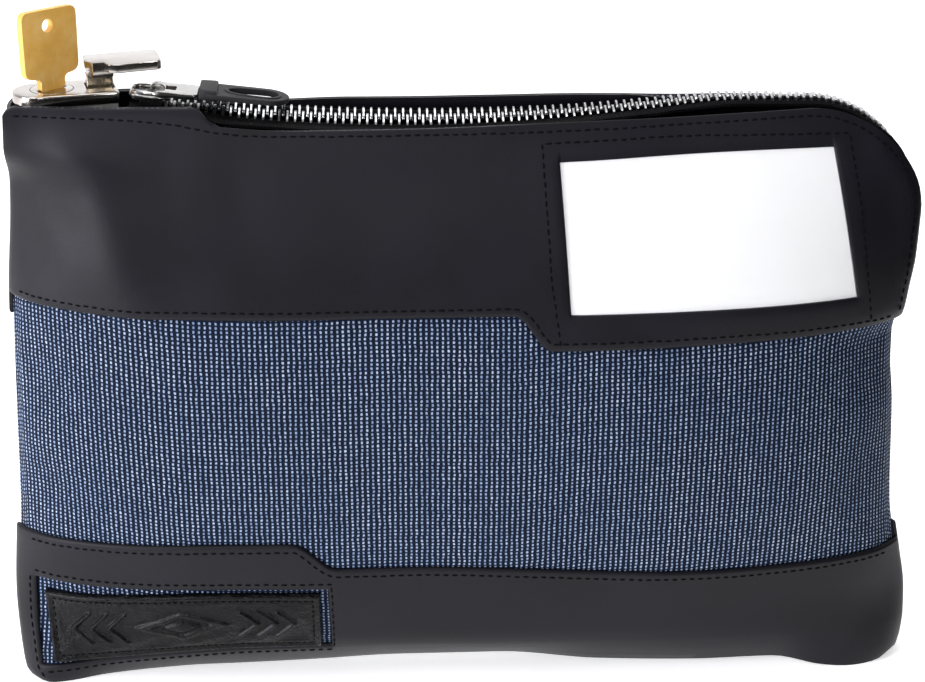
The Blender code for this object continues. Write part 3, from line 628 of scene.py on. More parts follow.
def bag_grid(front=True):
    rows, index = row_lines(front)
    tab = 1.1 if front else 0.0
    xs, zs = [], []
    for row in rows:
        z = row(np.zeros_like(U))
        for _ in range(14):
            x = left_edge(z) + U * (right_edge(z) - left_edge(z))
            if front:
                x = straight_window(x, float(z[(iWL + iWR) // 2]) + 0 * z[0])
            z = row(x)
        xs.append(x)
        zs.append(z)
    x = left_edge(TOP_Z_RIGHT) + U * (CORNER_X - left_edge(TOP_Z_RIGHT))
    xs.append(x)
    zs.append(top_z(x))
    x, z = np.array(xs), np.array(zs)
    near_top = smooth01((z - 156) / 12.0)
    dx, dz = x - CORNER_X, z - CORNER_Z
    rad = np.maximum(np.hypot(dx, dz), 1e-6)
    in_arc = (dx > 0) & (dz > 0)
    turn = np.degrees(np.arctan2(np.maximum(dz, 0), np.maximum(dx, 1e-9)))
    drop = np.where(in_arc, CORNER_DROP(turn) * (1.0 if front else 0.9) * smooth01((rad - 20.0) / 12.0), 0)
    x, z = np.where(in_arc, x - dx / rad * drop, x), np.where(in_arc, z - dz / rad * drop, z)
    change = -FRONT_DROP(x) if front else BACK_RISE(x)
    z = np.where(in_arc, z, z + near_top * change)
    z = z + tab * smooth01((-66.5 - x) / 4.0) * near_top - (3.4 - np.sqrt(np.maximum(3.4**2 - np.clip(3.4 - (x + 119.1), 0, 3.4) ** 2, 0))) * near_top
    p = surf(x, z)
    # flat base strip
    foot = p[0]
    strip = []
    for k in range(5):
        q = foot.copy()
        q[:, 1] = -(0.05 + (-foot[:, 1] - 0.05) * k / 5)
        strip.append(q)
    p = np.concatenate([np.array(strip), p])
    index = {k: v + 5 for k, v in index.items()}
    return p, index


def sheet_normals(p):
    """Outward normals from the surface rule, with the flat foot facing down."""
    n = surf_normal(p[..., 0], p[..., 2])
    n[:5] = (0, 0, -1)
    foot = n[5] + np.array([0, 0, -1.0])
    n[5] = foot / np.linalg.norm(foot, axis=-1, keepdims=True)
    return n


def grid_normals(p):
    du = np.zeros_like(p)
    du[:, 1:-1] = p[:, 2:] - p[:, :-2]
    du[:, 0], du[:, -1] = p[:, 1] - p[:, 0], p[:, -1] - p[:, -2]
    dv = np.zeros_like(p)
    dv[1:-1] = p[2:] - p[:-2]
    dv[0], dv[-1] = p[1] - p[0], p[-1] - p[-2]
    du /= np.maximum(np.linalg.norm(du, axis=-1, keepdims=True), 1e-9)
    dv /= np.maximum(np.linalg.norm(dv, axis=-1, keepdims=True), 1e-9)
    n = np.cross(du, dv)
    return n / np.maximum(np.linalg.norm(n, axis=-1, keepdims=True), 1e-9)


def cloth_map():
    """Lengths along the cloth on a regular (x, z) raster, so that the weave runs square to the bag."""
    xs, zs = np.arange(-133.0, 133.5, 1.0), np.arange(0.0, 174.0, 1.0)
    xx, zz = np.meshgrid(xs, zs)
    h = half_thickness(xx, zz) + waves(xx, zz)
    hx, hz = np.gradient(h, axis=1), np.gradient(h, axis=0)
    lu, lv = np.sqrt(1 + np.minimum(hx * hx, 4)), np.sqrt(1 + np.minimum(hz * hz, 4))
    uu = np.cumsum(lu, axis=1)
    uu -= uu[:, 133:134]
    return xs, zs, uu, np.cumsum(lv, axis=0)


RASTER = cloth_map()
WEAVE_RATIO = np.array([0.94, 0.76])


def arc_uv(p, unit):
    xs, zs, uu, vv = RASTER
    x, z = np.clip(p[..., 0] - xs[0], 0, len(xs) - 1.001), np.clip(p[..., 2] - zs[0], 0, len(zs) - 1.001)
    i, j = x.astype(int), z.astype(int)
    fx, fz = x - i, z - j
    out = [(a[j, i] * (1 - fx) + a[j, i + 1] * fx) * (1 - fz) + (a[j + 1, i] * (1 - fx) + a[j + 1, i + 1] * fx) * fz
           for a in (uu, vv)]
    return np.stack(out, -1) / unit


def shell(name, p, n, cells, outer, inner, mat, body, replaces, mirror=False, uv=None, lining=None):
    """outer and inner are arrays of depth below the surface, one per grid vertex."""
    nj, ni = p.shape[:2]
    used = np.zeros((nj, ni), bool)
    js, is_ = np.nonzero(cells)
    for dj in (0, 1):
        for di in (0, 1):
            used[js + dj, is_ + di] = True
    ids = -np.ones((nj, ni), int)
    ids[used] = np.arange(used.sum())
    count = int(used.sum())
    out = p - n * outer[..., None]
    inn = p - n * inner[..., None]
    for q in (out, inn):
        q[..., 1] = np.minimum(q[..., 1], -0.03)
        q[..., 2] = np.maximum(q[..., 2], 0.0)
    verts = np.concatenate([out[used], inn[used]])
    if mirror:
        verts[:, 1] *= -1
    quads, inner_quads = [], []
    edge = {}
    for j, i in zip(js, is_):
        ring = [ids[j, i], ids[j, i + 1], ids[j + 1, i + 1], ids[j + 1, i]]
        quads.append(ring)
        inner_quads.append([k + count for k in ring[::-1]])
        for a, b in zip(ring, ring[1:] + ring[:1]):
            if (b, a) in edge:
                del edge[(b, a)]
            else:
                edge[(a, b)] = True
    walls = [[a, a + count, b + count, b] for a, b in edge]
    uvs = None
    if uv is not None:
        uvs = np.concatenate([uv[used], uv[used]])
    obj = add_object(name, verts, quads + inner_quads + walls, mat, body, replaces, uvs, sharp=50)
    if lining:
        obj.data.materials.append(lining)
        index = np.zeros(len(obj.data.polygons), np.int32)
        index[len(quads):] = 1
        obj.data.polygons.foreach_set("material_index", index)
    return obj


def ring_distance(cells, sides=True):
    """Rings of grid lines from the mask's own edge, 0 on the edge, counting only edges inside the grid."""
    nj, ni = cells.shape[0] + 1, cells.shape[1] + 1
    dist = np.full((nj, ni), 99)
    edge = np.zeros((nj, ni), bool)
    c = np.pad(cells, 1, constant_values=False)
    for j in range(nj):
        around = [c[j, :-1], c[j, 1:], c[j + 1, :-1], c[j + 1, 1:]]
        some = around[0] | around[1] | around[2] | around[3]
        every = around[0] & around[1] & around[2] & around[3]
        line = some & ~every
        # the grid's own left, right and bottom borders are seams, not open edges
        if j == 0:
            line[:] = False
        else:
            full_l = (around[1] & around[3])[0] if ni else False
            if full_l:
                line[0] = False
            if (around[0] & around[2])[-1]:
                line[-1] = False
        edge[j] = line
    dist[edge] = 0
    for r in (1, 2):
        grow = np.zeros_like(edge)
        e = dist == r - 1
        grow[1:] |= e[:-1]
        grow[:-1] |= e[1:]
        grow[:, 1:] |= e[:, :-1]
        grow[:, :-1] |= e[:, 1:]
        dist[grow & (dist > r)] = r
    return dist


# ------------------------------------------------------------------ bag panels
pf, kf = bag_grid(True)
nf = sheet_normals(pf)
pb, kb = bag_grid(False)
nb = sheet_normals(pb)
PITCH = 1.54
uvf, uvb = arc_uv(pf, PITCH * WEAVE_RATIO), arc_uv(pb, PITCH * WEAVE_RATIO)


def cells_of(p):
    return np.ones((p.shape[0] - 1, p.shape[1] - 1), bool)


def panel(name, p, n, cells, mat, replaces, mirror=False, lift=0.0):
    d = ring_distance(cells)
    outer = np.where(d == 0, 0.55, np.where(d == 1, 0.14, np.where(d == 2, 0.0, 0.0))) - lift
    inner = np.full(outer.shape, PANEL_T)
    return shell(name, p, n, cells, outer, inner, mat, "bag", replaces, mirror)


def fabric(name, p, n, uv, k, replaces, mirror=False):
    z = p[..., 2]
    rows = np.arange(p.shape[0])[:, None] * np.ones((1, p.shape[1]))
    lo, hi = k["band_low"], k["band_high"]
    t = np.clip((rows - lo) / (hi - lo), 0, 1)
    puff = 0.75 * np.sin(np.pi * t) ** 0.5 * (np.abs(U - 0.5) < 0.49)[None, :]
    outer = PANEL_T + GAP - puff
    return shell(name, p, n, cells_of(p), outer, outer + FABRIC_T, WEAVE, "bag", replaces, mirror, uv, VINYL)


fabric("front_weave", pf, nf, uvf, kf, ["front_fabric"])
fabric("back_weave", pb, nb, uvb, kb, ["back_fabric"], True)

c = np.zeros_like(cells_of(pf))
c[:kf["band_low"]] = True
c[kf["cut_bottom"]:kf["cut_top"], iL:iR] = False
LOWER = panel("front_lower_vinyl", pf, nf, c, VINYL, ["front_lower_panel"])
c = np.zeros_like(cells_of(pf))
c[kf["band_high"]:] = True
c[kf["window_low"]:kf["window_high"], iWL:iWR] = False
UPPER = panel("front_upper_vinyl", pf, nf, c, VINYL, ["front_upper_panel"])
c = np.zeros_like(cells_of(pb))
c[:kb["band_low"]] = True
panel("back_lower_vinyl", pb, nb, c, VINYL, ["back_lower_panel"], True)
c = np.zeros_like(cells_of(pb))
c[kb["band_high"]:] = True
panel("back_upper_vinyl", pb, nb, c, VINYL, ["back_upper_panel"], True)

# window film and card
c = np.zeros_like(cells_of(pf))
c[kf["window_low"]:kf["window_high"], iWL:iWR] = True
shell("window_sheet", pf, nf, c, np.full(pf.shape[:2], 0.35), np.full(pf.shape[:2], 0.6), FILM, "bag",
      ["window_film"])
shell("identity_card", pf, nf, c, np.full(pf.shape[:2], 0.8), np.full(pf.shape[:2], 1.15), CARD, "bag",
      ["id_card"])


# ------------------------------------------------------------------ stitching
def resample(points, step, closed=False):
    pts = np.array(points, float)
    if closed:
        pts = np.vstack([pts, pts[:1]])
    seg = np.linalg.norm(np.diff(pts, axis=0), axis=1)
    s = np.concatenate([[0], np.cumsum(seg)])
    n = max(2, int(round(s[-1] / step)))
    t = np.linspace(0, s[-1], n + 1)
    return np.stack([np.interp(t, s, pts[:, k]) for k in range(pts.shape[1])], 1)


def fine_line(points, closed=False):
    """Dense version of a line given by (x, z) corners, on the bag's surface."""
    return resample(points, 0.4, closed)


def stitches(name, lines, mirror=False, pitch=2.45, length=1.95, radius=0.27, height=0.05, mat=THREAD):
    """Rows of sewing thread: one rounded, sunk-ended strand for each stitch."""
    verts, faces = [], []
    sides, rings = 6, 5
    for line in lines:
        q = fine_line(line)
        p3 = surf(q[:, 0], q[:, 1])
        n3 = surf_normal(q[:, 0], q[:, 1])
        seg = np.linalg.norm(np.diff(p3, axis=0), axis=1)
        s = np.concatenate([[0], np.cumsum(seg)])
        count = int(s[-1] / pitch)
        if count < 1:
            continue
        for k in range(count):
            mid = (k + 0.5) * s[-1] / count
            ln = length * (1 + 0.06 * RNG.standard_normal())
            side_shift = 0.05 * RNG.standard_normal()
            base = len(verts)
            for r in range(rings):
                f = -1 + 2 * r / (rings - 1)
                t = mid + f * ln / 2
                c3 = np.array([np.interp(t, s, p3[:, a]) for a in range(3)])
                nn = np.array([np.interp(t, s, n3[:, a]) for a in range(3)])
                nn /= np.linalg.norm(nn)
                ahead = np.array([np.interp(min(t + 0.3, s[-1]), s, p3[:, a]) for a in range(3)])
                behind = np.array([np.interp(max(t - 0.3, 0), s, p3[:, a]) for a in range(3)])
                tan = ahead - behind
                tan /= max(np.linalg.norm(tan), 1e-9)
                bi = np.cross(tan, nn)
                bi /= max(np.linalg.norm(bi), 1e-9)
                rad = radius * (0.45 if abs(f) == 1 else 0.9 if abs(f) > 0.4 else 1.0)
                c3 = c3 + nn * (height - 0.28 * f**4) + bi * side_shift
                for a in range(sides):
                    w = 2 * math.pi * a / sides
                    v = c3 + rad * (math.cos(w) * nn + math.sin(w) * bi)
                    verts.append((v[0], -v[1] if mirror else v[1], v[2]))
            for r in range(rings - 1):
                for a in range(sides):
                    b = (a + 1) % sides
                    faces.append((base + r * sides + a, base + r * sides + b, base + (r + 1) * sides + b,
                                  base + (r + 1) * sides + a))
            faces.append(tuple(base + a for a in range(sides))[::-1])
            faces.append(tuple(base + (rings - 1) * sides + a for a in range(sides)))
    return add_object(name, verts, faces, mat, "bag")


def along(fn, x0, x1, offset=0.0, n=160):
    xs = np.linspace(x0, x1, n)
    return [(x, float(fn(x)) + offset) for x in xs]


def offset_line(fn, x0, x1, d, n=240):
    """Line at a true distance d from the curve z = fn(x)."""
    xs = np.linspace(x0, x1, n)
    zs = np.array([float(fn(x)) for x in xs])
    tx, tz = np.gradient(xs), np.gradient(zs)
    ln = np.hypot(tx, tz)
    return [(x - tz_ / l * d, z + tx_ / l * d) for x, z, tx_, tz_, l in zip(xs, zs, tx, tz, ln)]


top_stitch = curve_table([(-118, 167.6), (-92, 167.1), (-76, 165.8), (-62, 163.2), (-50, 162.2), (-20, 161.8), (9, 161.8),
                          (36, 162.1), (63, 162.9), (78, 163.5), (90, 164.0)])
corner = [(CORNER_X + (CORNER_R - 2.0 - float(CORNER_DROP(t))) * math.cos(math.radians(t)),
           CORNER_Z + (CORNER_R - 2.0 - float(CORNER_DROP(t))) * math.sin(math.radians(t))) for t in range(88, -1, -4)]
side = [(float(right_edge(z)) - 2.4, z) for z in (130, 124, 118, 113, 109)]
top_line = along(lambda x: top_stitch(x), -116.5, 90.0) + corner + side
window_stitch = [(24.5, 107.6), (22.0, 125), (20.0, 159.0), (60, 160.0), (101.5, 159.4), (105.0, 140), (109.5, 108.6)]
front_lines = [top_line, offset_line(band_high, -119, 116, 2.1), window_stitch,
               offset_line(band_low, -121, 121, -2.1),
               [(-121.6, 34.0), (-119.8, 12.0), (-119.0, 1.8)],
               ]
cut_line = offset_line(cut_top, -121.0, -37.4, 2.2) + [(-37.2, 30.0), (-37.0, 12.0)]
front_lines[4:] = [cut_line, [(-122.2, 33.0), (-122.9, 20.0), (-121.5, 4.5), (-119.5, 1.6)],
                   offset_line(cut_bottom, -119.0, -37.2, -1.9)]
stitches("front_stitching", front_lines)
back_lines = [top_line, [(x, 112.2) for x in (-119, 0, 117)], [(x, 38.8) for x in (-121, 0, 121)]]
stitches("back_stitching", back_lines, mirror=True)


# ------------------------------------------------------------------ embossed label
def label():
    """Thick glossy patch: rounded rim, sewn border, and a plain raised lozenge-and-chevron ornament."""
    nu, nv = ((230, 70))
    xl_top, xr_top = -118.6, -40.0
    us, vs = np.linspace(0, 1, nu), np.linspace(0, 1, nv)
    length, height = 78.0, 22.0
    uu, vv = np.meshgrid(us, vs)
    x = (-118.4 + 1.6 * (1 - vv) * (1 - uu)) * (1 - uu) + (-40.3) * uu
    lo = cut_bottom(x) + 0.9
    hi = cut_top(x) - (3.6 - 2.2 * smooth01(uu * 1.6))
    z = lo + (hi - lo) * vv
    p = surf(x, z)
    n = surf_normal(x, z)
    sx, sy = uu * length, vv * height
    edge = np.minimum(np.minimum(sx, length - sx), np.minimum(sy, height - sy))
    h = -1.0 + 1.45 * np.sqrt(np.clip(1 - (1 - np.clip(edge / 0.9, 0, 1)) ** 2, 0, 1))
    # raised rim, then a groove where it is sewn
    h += 0.25 * np.exp(-((edge - 1.0) / 0.55) ** 2)
    h -= 0.35 * np.exp(-((edge - 2.3) / 0.4) ** 2)
    inner = smooth01((edge - 3.2) / 1.0)

    def bar(cx, cy, hx, hy, r):
        dx, dy = np.abs(sx - cx) - hx, np.abs(sy - cy) - hy
        d = np.hypot(np.maximum(dx, 0), np.maximum(dy, 0)) + np.minimum(np.maximum(dx, dy), 0)
        return smooth01((r - d) / 0.9)

    relief = np.zeros_like(h)
    # long raised lozenge with a frame of chevrons
    dia = np.abs(sx - 39) / 15.0 + np.abs(sy - 11) / 5.4
    relief = np.maximum(relief, smooth01((1.0 - dia) / 0.16) - 0.9 * smooth01((0.66 - dia) / 0.12))
    relief = np.maximum(relief, smooth01((0.42 - dia) / 0.12))
    for s in (-1, 1):
        for k in range(3):
            cx = 39 + s * (19.0 + 5.2 * k)
            v = (sx - cx) * s + np.abs(sy - 11) * 1.05 - 2.2
            relief = np.maximum(relief, smooth01((1.0 - np.abs(v)) / 0.6) * smooth01((5.4 - np.abs(sy - 11)) / 0.7))
    h += 0.85 * relief * inner
    # unevenness of pressed vinyl
    h += inner * 0.30 * np.sin(sx / 3.1 + np.sin(sy / 2.0)) * np.sin(sy / 2.7 + 0.8 * np.sin(sx / 6.0))
    h += inner * 0.10 * np.sin(sx / 7.3 + sy / 4.1)
    top = p + n * h[..., None]
    bottom = p - n * 1.1
    verts = np.concatenate([top.reshape(-1, 3), bottom.reshape(-1, 3)])
    faces = []
    off = nu * nv
    for j in range(nv - 1):
        for i in range(nu - 1):
            a = j * nu + i
            faces.append((a, a + 1, a + nu + 1, a + nu))
            faces.append((off + a, off + a + nu, off + a + nu + 1, off + a + 1))
    rim = ([(0, i, 0, i + 1) for i in range(nu - 1)] + [(nv - 1, i + 1, nv - 1, i) for i in range(nu - 1)]
           + [(j + 1, 0, j, 0) for j in range(nv - 1)] + [(j, nu - 1, j + 1, nu - 1) for j in range(nv - 1)])
    for j0, i0, j1, i1 in rim:
        a, b = j0 * nu + i0, j1 * nu + i1
        faces.append((a, off + a, off + b, b))
    add_object("label_relief", verts, faces, LABEL, "bag", ["label_patch"], sharp=60)

    def at(px, py):
        u_, v_ = px / length, py / height
        xx = (-118.4 + 1.6 * (1 - v_) * (1 - u_)) * (1 - u_) + (-40.3) * u_
        a, b = cut_bottom(xx) + 0.9, cut_top(xx) - (3.6 - 2.2 * smooth01(u_ * 1.6))
        return float(xx), float(a + (b - a) * v_)

    m = 2.3
    ring = ([(x_, m) for x_ in np.linspace(m, length - m, 40)] + [(length - m, y_) for y_ in np.linspace(m, height - m, 12)]
            + [(x_, height - m) for x_ in np.linspace(length - m, m, 40)] + [(m, y_) for y_ in np.linspace(height - m, m, 12)])
    stitches("label_stitching", [[at(*q) for q in ring]], pitch=1.9, length=1.5, radius=0.16, height=0.22)


label()


# ------------------------------------------------------------------ zip: tapes, teeth, stop
def zip_path(step=0.35):
    """Stations (x, z, outward normal x, z) from the slider, round the corner, down the side."""
    out = []
    x = CHAIN_START
    while x < CORNER_X:
        z = float(chain_z(x))
        dz = float(chain_z(x + 0.05) - chain_z(x - 0.05)) / 0.1
        ln = math.hypot(1, dz)
        out.append((x, z, -dz / ln, 1 / ln))
        x += step
    r = CORNER_R - 0.8
    n = int(r * math.pi / 2 / step)
    for k in range(n + 1):
        t = math.pi / 2 * (1 - k / n)
        out.append((CORNER_X + r * math.cos(t), CORNER_Z + r * math.sin(t), math.cos(t), math.sin(t)))
    z = CORNER_Z - step
    while z > 109.0:
        xe = float(right_edge(z)) - 0.8
        dx = float(right_edge(z + 0.05) - right_edge(z - 0.05)) / 0.1
        ln = math.hypot(1, dx)
        out.append((xe, z, 1 / ln, -dx / ln))
        z -= step
    return np.array(out)


PATH = zip_path()
SEG = np.hypot(np.diff(PATH[:, 0]), np.diff(PATH[:, 1]))
ARC = np.concatenate([[0], np.cumsum(SEG)])


def cloth_gap(x, z, nx, nz):
    if nz > 0.72:
        return float(top_gap(x))
    t = smooth01((nz - 0.0) / 0.72)
    return float(side_gap_right(z)) * (1 - t) + float(top_gap(x)) * t


def lean_at(s):
    """How far the chain is turned towards the front, in radians: the teeth lie flat in the slider and round the corner."""
    towards = 36.0 * smooth01((s - 14.0) / 16.0) * (1 - 0.65 * smooth01((s - 70.0) / 70.0) - 0.35 * smooth01((s - 140.0) / 40.0))
    return math.radians(float(towards))


sink = curve_table([(0, 0), (130, 0), (154, 0.3), (177, 1.0), (190, 1.1), (202, 1.2), (209, 1.7), (218, 1.9), (226, 1.9), (236, 1.4),
                    (250, 0.8), (280, 0.2)])


def station(s):
    v = [np.interp(s, ARC, PATH[:, k]) for k in range(4)]
    ln = math.hypot(v[2], v[3])
    nx, nz, d = v[2] / ln, v[3] / ln, float(sink(s))
    return v[0] - nx * d, v[1] - nz * d, nx, nz


def ribbon(name, side, replaces):
    """Woven tape from the chain to the cloth: softly domed, with a corded edge beside the teeth."""
    stations = np.linspace(0, ARC[-1], int(ARC[-1] / 1.6))
    cols = 9
    verts, uvs, faces = [], [], []
    for k, s in enumerate(stations):
        x, z, nx, nz = station(s)
        gap = max(cloth_gap(x, z, nx, nz) - 2.5, 3.5)
        for layer in (0, 1):
            for c in range(cols):
                t = c / (cols - 1)
                y = 1.55 + (gap - 1.55) * t
                rise = -0.35 - 0.35 * t + 0.28 * math.sin(math.pi * t) + 0.10 * math.sin(s / 4.7) * t
                rise += 0.25 * math.exp(-((t - 0.12) / 0.10) ** 2)
                rise -= 0.7 * layer
                rise += side * math.sin(lean_at(s)) * y * (1 - t) ** 2
                over = float(smooth01((s - 196.0) / 16.0) * (1 - smooth01((s - ARC[-1] + 16.0) / 9.0)))
                rise += 1.9 * over * math.sin(math.pi * t) ** 0.7
                verts.append((x + nx * rise, side * y, z + nz * rise))
                uvs.append((s / 0.8, y / 0.9))
    per = 2 * cols
    for k in range(len(stations) - 1):
        a, b = k * per, (k + 1) * per
        for c in range(cols - 1):
            faces.append((a + c, a + c + 1, b + c + 1, b + c))
            faces.append((a + cols + c, b + cols + c, b + cols + c + 1, a + cols + c + 1))
        faces.append((a, b, b + cols, a + cols))
        faces.append((a + cols - 1, a + per - 1, b + per - 1, b + cols - 1))
    a = (len(stations) - 1) * per
    for b in (0, a):
        for c in range(cols - 1):
            faces.append((b + c, b + c + 1, b + cols + c + 1, b + cols + c))
    add_object(name, verts, faces, TAPE, "bag", replaces, uvs, sharp=60)


ribbon("front_tape", -1, ["front_zip_tape"])
ribbon("back_tape", 1, ["back_zip_tape"])


def tooth(verts, faces, frame_at, side, shift, size=1.0):
    """One metal element: a leg that clamps the tape, a waist, and a cupped head that meets its partner over the middle."""
    o, t, n, y = frame_at
    prof = [(-0.15, 0.40, 0.30), (0.05, 0.44, 0.46), (0.55, 0.46, 0.56), (1.0, 0.38, 0.56), (1.6, 0.32, 0.54),
            (2.1, 0.42, 0.60), (3.0, 0.42, 0.56), (3.6, 0.32, 0.42)]
    base = len(verts)
    m = 8
    for a, hw, hh in prof:
        across = (a - 0.75) * side
        for k in range(m):
            w = 2 * math.pi * (k + 0.5) / m
            cw, sw = math.cos(w), math.sin(w)
            px = math.copysign(abs(cw) ** 0.55, cw) * hw
            pn = math.copysign(abs(sw) ** 0.55, sw) * hh
            p = o + t * (shift + px * size) + n * (pn * size * 1.3) + y * across
            verts.append(tuple(p))
    for r in range(len(prof) - 1):
        for k in range(m):
            q = (k + 1) % m
            faces.append((base + r * m + k, base + r * m + q, base + (r + 1) * m + q, base + (r + 1) * m + k))
    faces.append(tuple(base + k for k in range(m))[::-1])
    faces.append(tuple(base + (len(prof) - 1) * m + k for k in range(m)))


def teeth(name, side, replaces):
    verts, faces = [], []
    pitch = 2.1
    start = 9.5
    n = int((ARC[-1] - start - 2.6) / pitch)
    for k in range(n):
        s = start + k * pitch + (pitch / 2 if side > 0 else 0)
        x, z, nx, nz = station(s)
        o = np.array([x, 0.0, z])
        nn = np.array([nx, 0, nz])
        t = np.array([nz, 0, -nx])
        y = np.array([0, 1.0, 0])
        phi = lean_at(s)
        y, nn = y * math.cos(phi) + nn * math.sin(phi), nn * math.cos(phi) - y * math.sin(phi)
        wob = 0.05 * RNG.standard_normal()
        lift = 0.06 * RNG.standard_normal()
        base = len(verts)
        tooth(verts, faces, (o + nn * (0.25 + lift), t, nn, y), side, wob)
        # lean each element a little
        lean = 0.05 * RNG.standard_normal()
        for q in range(base, len(verts)):
            v = np.array(verts[q])
            d = (v - o) @ nn
            verts[q] = tuple(v + t * lean * d)
    add_object(name, verts, faces, ZIPMETAL, "bag", replaces, sharp=40)


teeth("front_teeth", -1, ["front_tooth_row"])
teeth("back_teeth", 1, ["back_tooth_row"])


# ------------------------------------------------------------------ helpers for hard parts
def rounded_solid(name, outline, z0, z1, bevel, mat, body, place, replaces=(), segments=3, holes=(), top=None,
                  extra=None, rim_ok=None):
    """Prism of an outline (list of x, y) with optional holes, its rims bevelled; place is a Matrix in millimetres."""
    bm = bmesh.new()
    loops = [list(outline)] + [list(h) for h in holes]
    edges = []
    for loop in loops:
        vs = [bm.verts.new((p[0], p[1], z0)) for p in loop]
        edges += [bm.edges.new((vs[k], vs[(k + 1) % len(vs)])) for k in range(len(vs))]
    bmesh.ops.triangle_fill(bm, use_beauty=True, use_dissolve=True, edges=edges)
    bmesh.ops.recalc_face_normals(bm, faces=bm.faces[:])
    faces = bm.faces[:]
    ext = bmesh.ops.extrude_face_region(bm, geom=faces)
    up = [v for v in ext["geom"] if isinstance(v, bmesh.types.BMVert)]
    for v in up:
        v.co.z = z1 if top is None else top(v.co.x, v.co.y)
    bmesh.ops.recalc_face_normals(bm, faces=bm.faces[:])
    if bevel:
        rim = [e for e in bm.edges if len(e.link_faces) == 2 and e.calc_face_angle(0) > math.radians(50)
               and abs(e.verts[0].co.z - e.verts[1].co.z) < abs(z1 - z0) * 0.45
               and (rim_ok is None or rim_ok((e.verts[0].co + e.verts[1].co) / 2))]
        bmesh.ops.bevel(bm, geom=rim, offset=bevel, segments=segments, profile=0.55, affect="EDGES", clamp_overlap=True)
    bmesh.ops.triangulate(bm, faces=[f for f in bm.faces if len(f.verts) > 4])
    if extra:
        extra(bm)
    return solid_from(bm, name, mat, body, place, replaces)


def solid_from(bm, name, mat, body, place, replaces=(), sharp=38):
    bmesh.ops.recalc_face_normals(bm, faces=bm.faces[:])
    bm.transform(place)
    bm.transform(Matrix.Scale(MM, 4))
    mesh = bpy.data.meshes.new(name)
    bm.to_mesh(mesh)
    bm.free()
    mesh.shade_smooth()
    mesh.set_sharp_from_angle(angle=math.radians(sharp))
    obj = bpy.data.objects.new(name, mesh)
    bpy.context.scene.collection.objects.link(obj)
    mesh.materials.append(mat)
    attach(obj, body)
    if replaces:
        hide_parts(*replaces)
    return obj


def loft(sections, closed_ends=True):
    """bmesh from rings of 3-D points with equal counts."""
    bm = bmesh.new()
    rings = [[bm.verts.new(tuple(p)) for p in s] for s in sections]
    m = len(rings[0])
    for a, b in zip(rings, rings[1:]):
        for k in range(m):
            q = (k + 1) % m
            bm.faces.new((a[k], a[q], b[q], b[k]))
    if closed_ends:
        bm.faces.new(rings[0][::-1])
        bm.faces.new(rings[-1])
    return bm


def circle(cx, cy, r, n=40, a0=0.0, a1=360.0):
    full = abs(a1 - a0) >= 360
    return [(cx + r * math.cos(math.radians(a0 + (a1 - a0) * k / (n if full else n - 1))),
             cy + r * math.sin(math.radians(a0 + (a1 - a0) * k / (n if full else n - 1)))) for k in range(n)]


def round_rect(x0, x1, y0, y1, r, n=7):
    out = []
    for cx, cy, a in ((x1 - r, y0 + r, -90), (x1 - r, y1 - r, 0), (x0 + r, y1 - r, 90), (x0 + r, y0 + r, 180)):
        out += [(cx + r * math.cos(math.radians(a + 90 * k / n)), cy + r * math.sin(math.radians(a + 90 * k / n)))
                for k in range(n + 1)]
    return out


def round_left(x0, x1, hw, n=28, rr=0.8):
    """Plate with a half-round left end and square right end."""
    out = [(x1 - rr + rr * math.cos(math.radians(a)), -hw + rr + rr * math.sin(math.radians(a))) for a in range(-90, 1, 30)]
    out += [(x1 - rr + rr * math.cos(math.radians(a)), hw - rr + rr * math.sin(math.radians(a))) for a in range(0, 91, 30)]
    cx = x0 + hw
    out += [(cx + hw * math.cos(math.radians(90 + 180 * k / n)), hw * math.sin(math.radians(90 + 180 * k / n)))
            for k in range(n + 1)]
    return out


# ------------------------------------------------------------------ lock
LOCK_X, LOCK_Z, LOCK_YAW = -107.0, 172.0, 12.0
LOCK = Matrix.Translation((LOCK_X, 0, LOCK_Z)) @ Matrix.Rotation(math.radians(LOCK_YAW), 4, "Z")
PLUG_R = 5.5
KEY_TURN = 34.0
STEM_X0, STEM_X1, STEM_Y0, STEM_Y1 = 9.6, 15.4, -2.0, 3.2

# housing: polished plate with a plug hole and a square latch hole
rounded_solid("lock_housing_shell", round_left(-10.2, 16.7, 7.5), -3.1, 0.0, 0.55, NICKEL, "bag", LOCK,
              ["lock_housing"],
              holes=[circle(0, 0, PLUG_R + 0.2, 64),
                     round_rect(STEM_X0 - 0.9, STEM_X1 + 0.8, STEM_Y0 - 0.95, STEM_Y1 + 0.9, 0.5)],
              rim_ok=lambda c: abs(c.y) > 6.2 or c.x < -6.2 or c.x > 16.4)
TURN = LOCK @ Matrix.Rotation(math.radians(KEY_TURN), 4, "Z")
# plug face: disc with a keyway slot, rim chamfer and a turned groove
key_slot = round_rect(-4.3, 4.3, -1.15, 1.15, 0.35)
rounded_solid("plug_face", circle(0, 0, PLUG_R + 0.03, 64), -2.6, 0.07, 0.1, NICKEL, "plug", TURN, (),
              holes=[key_slot])

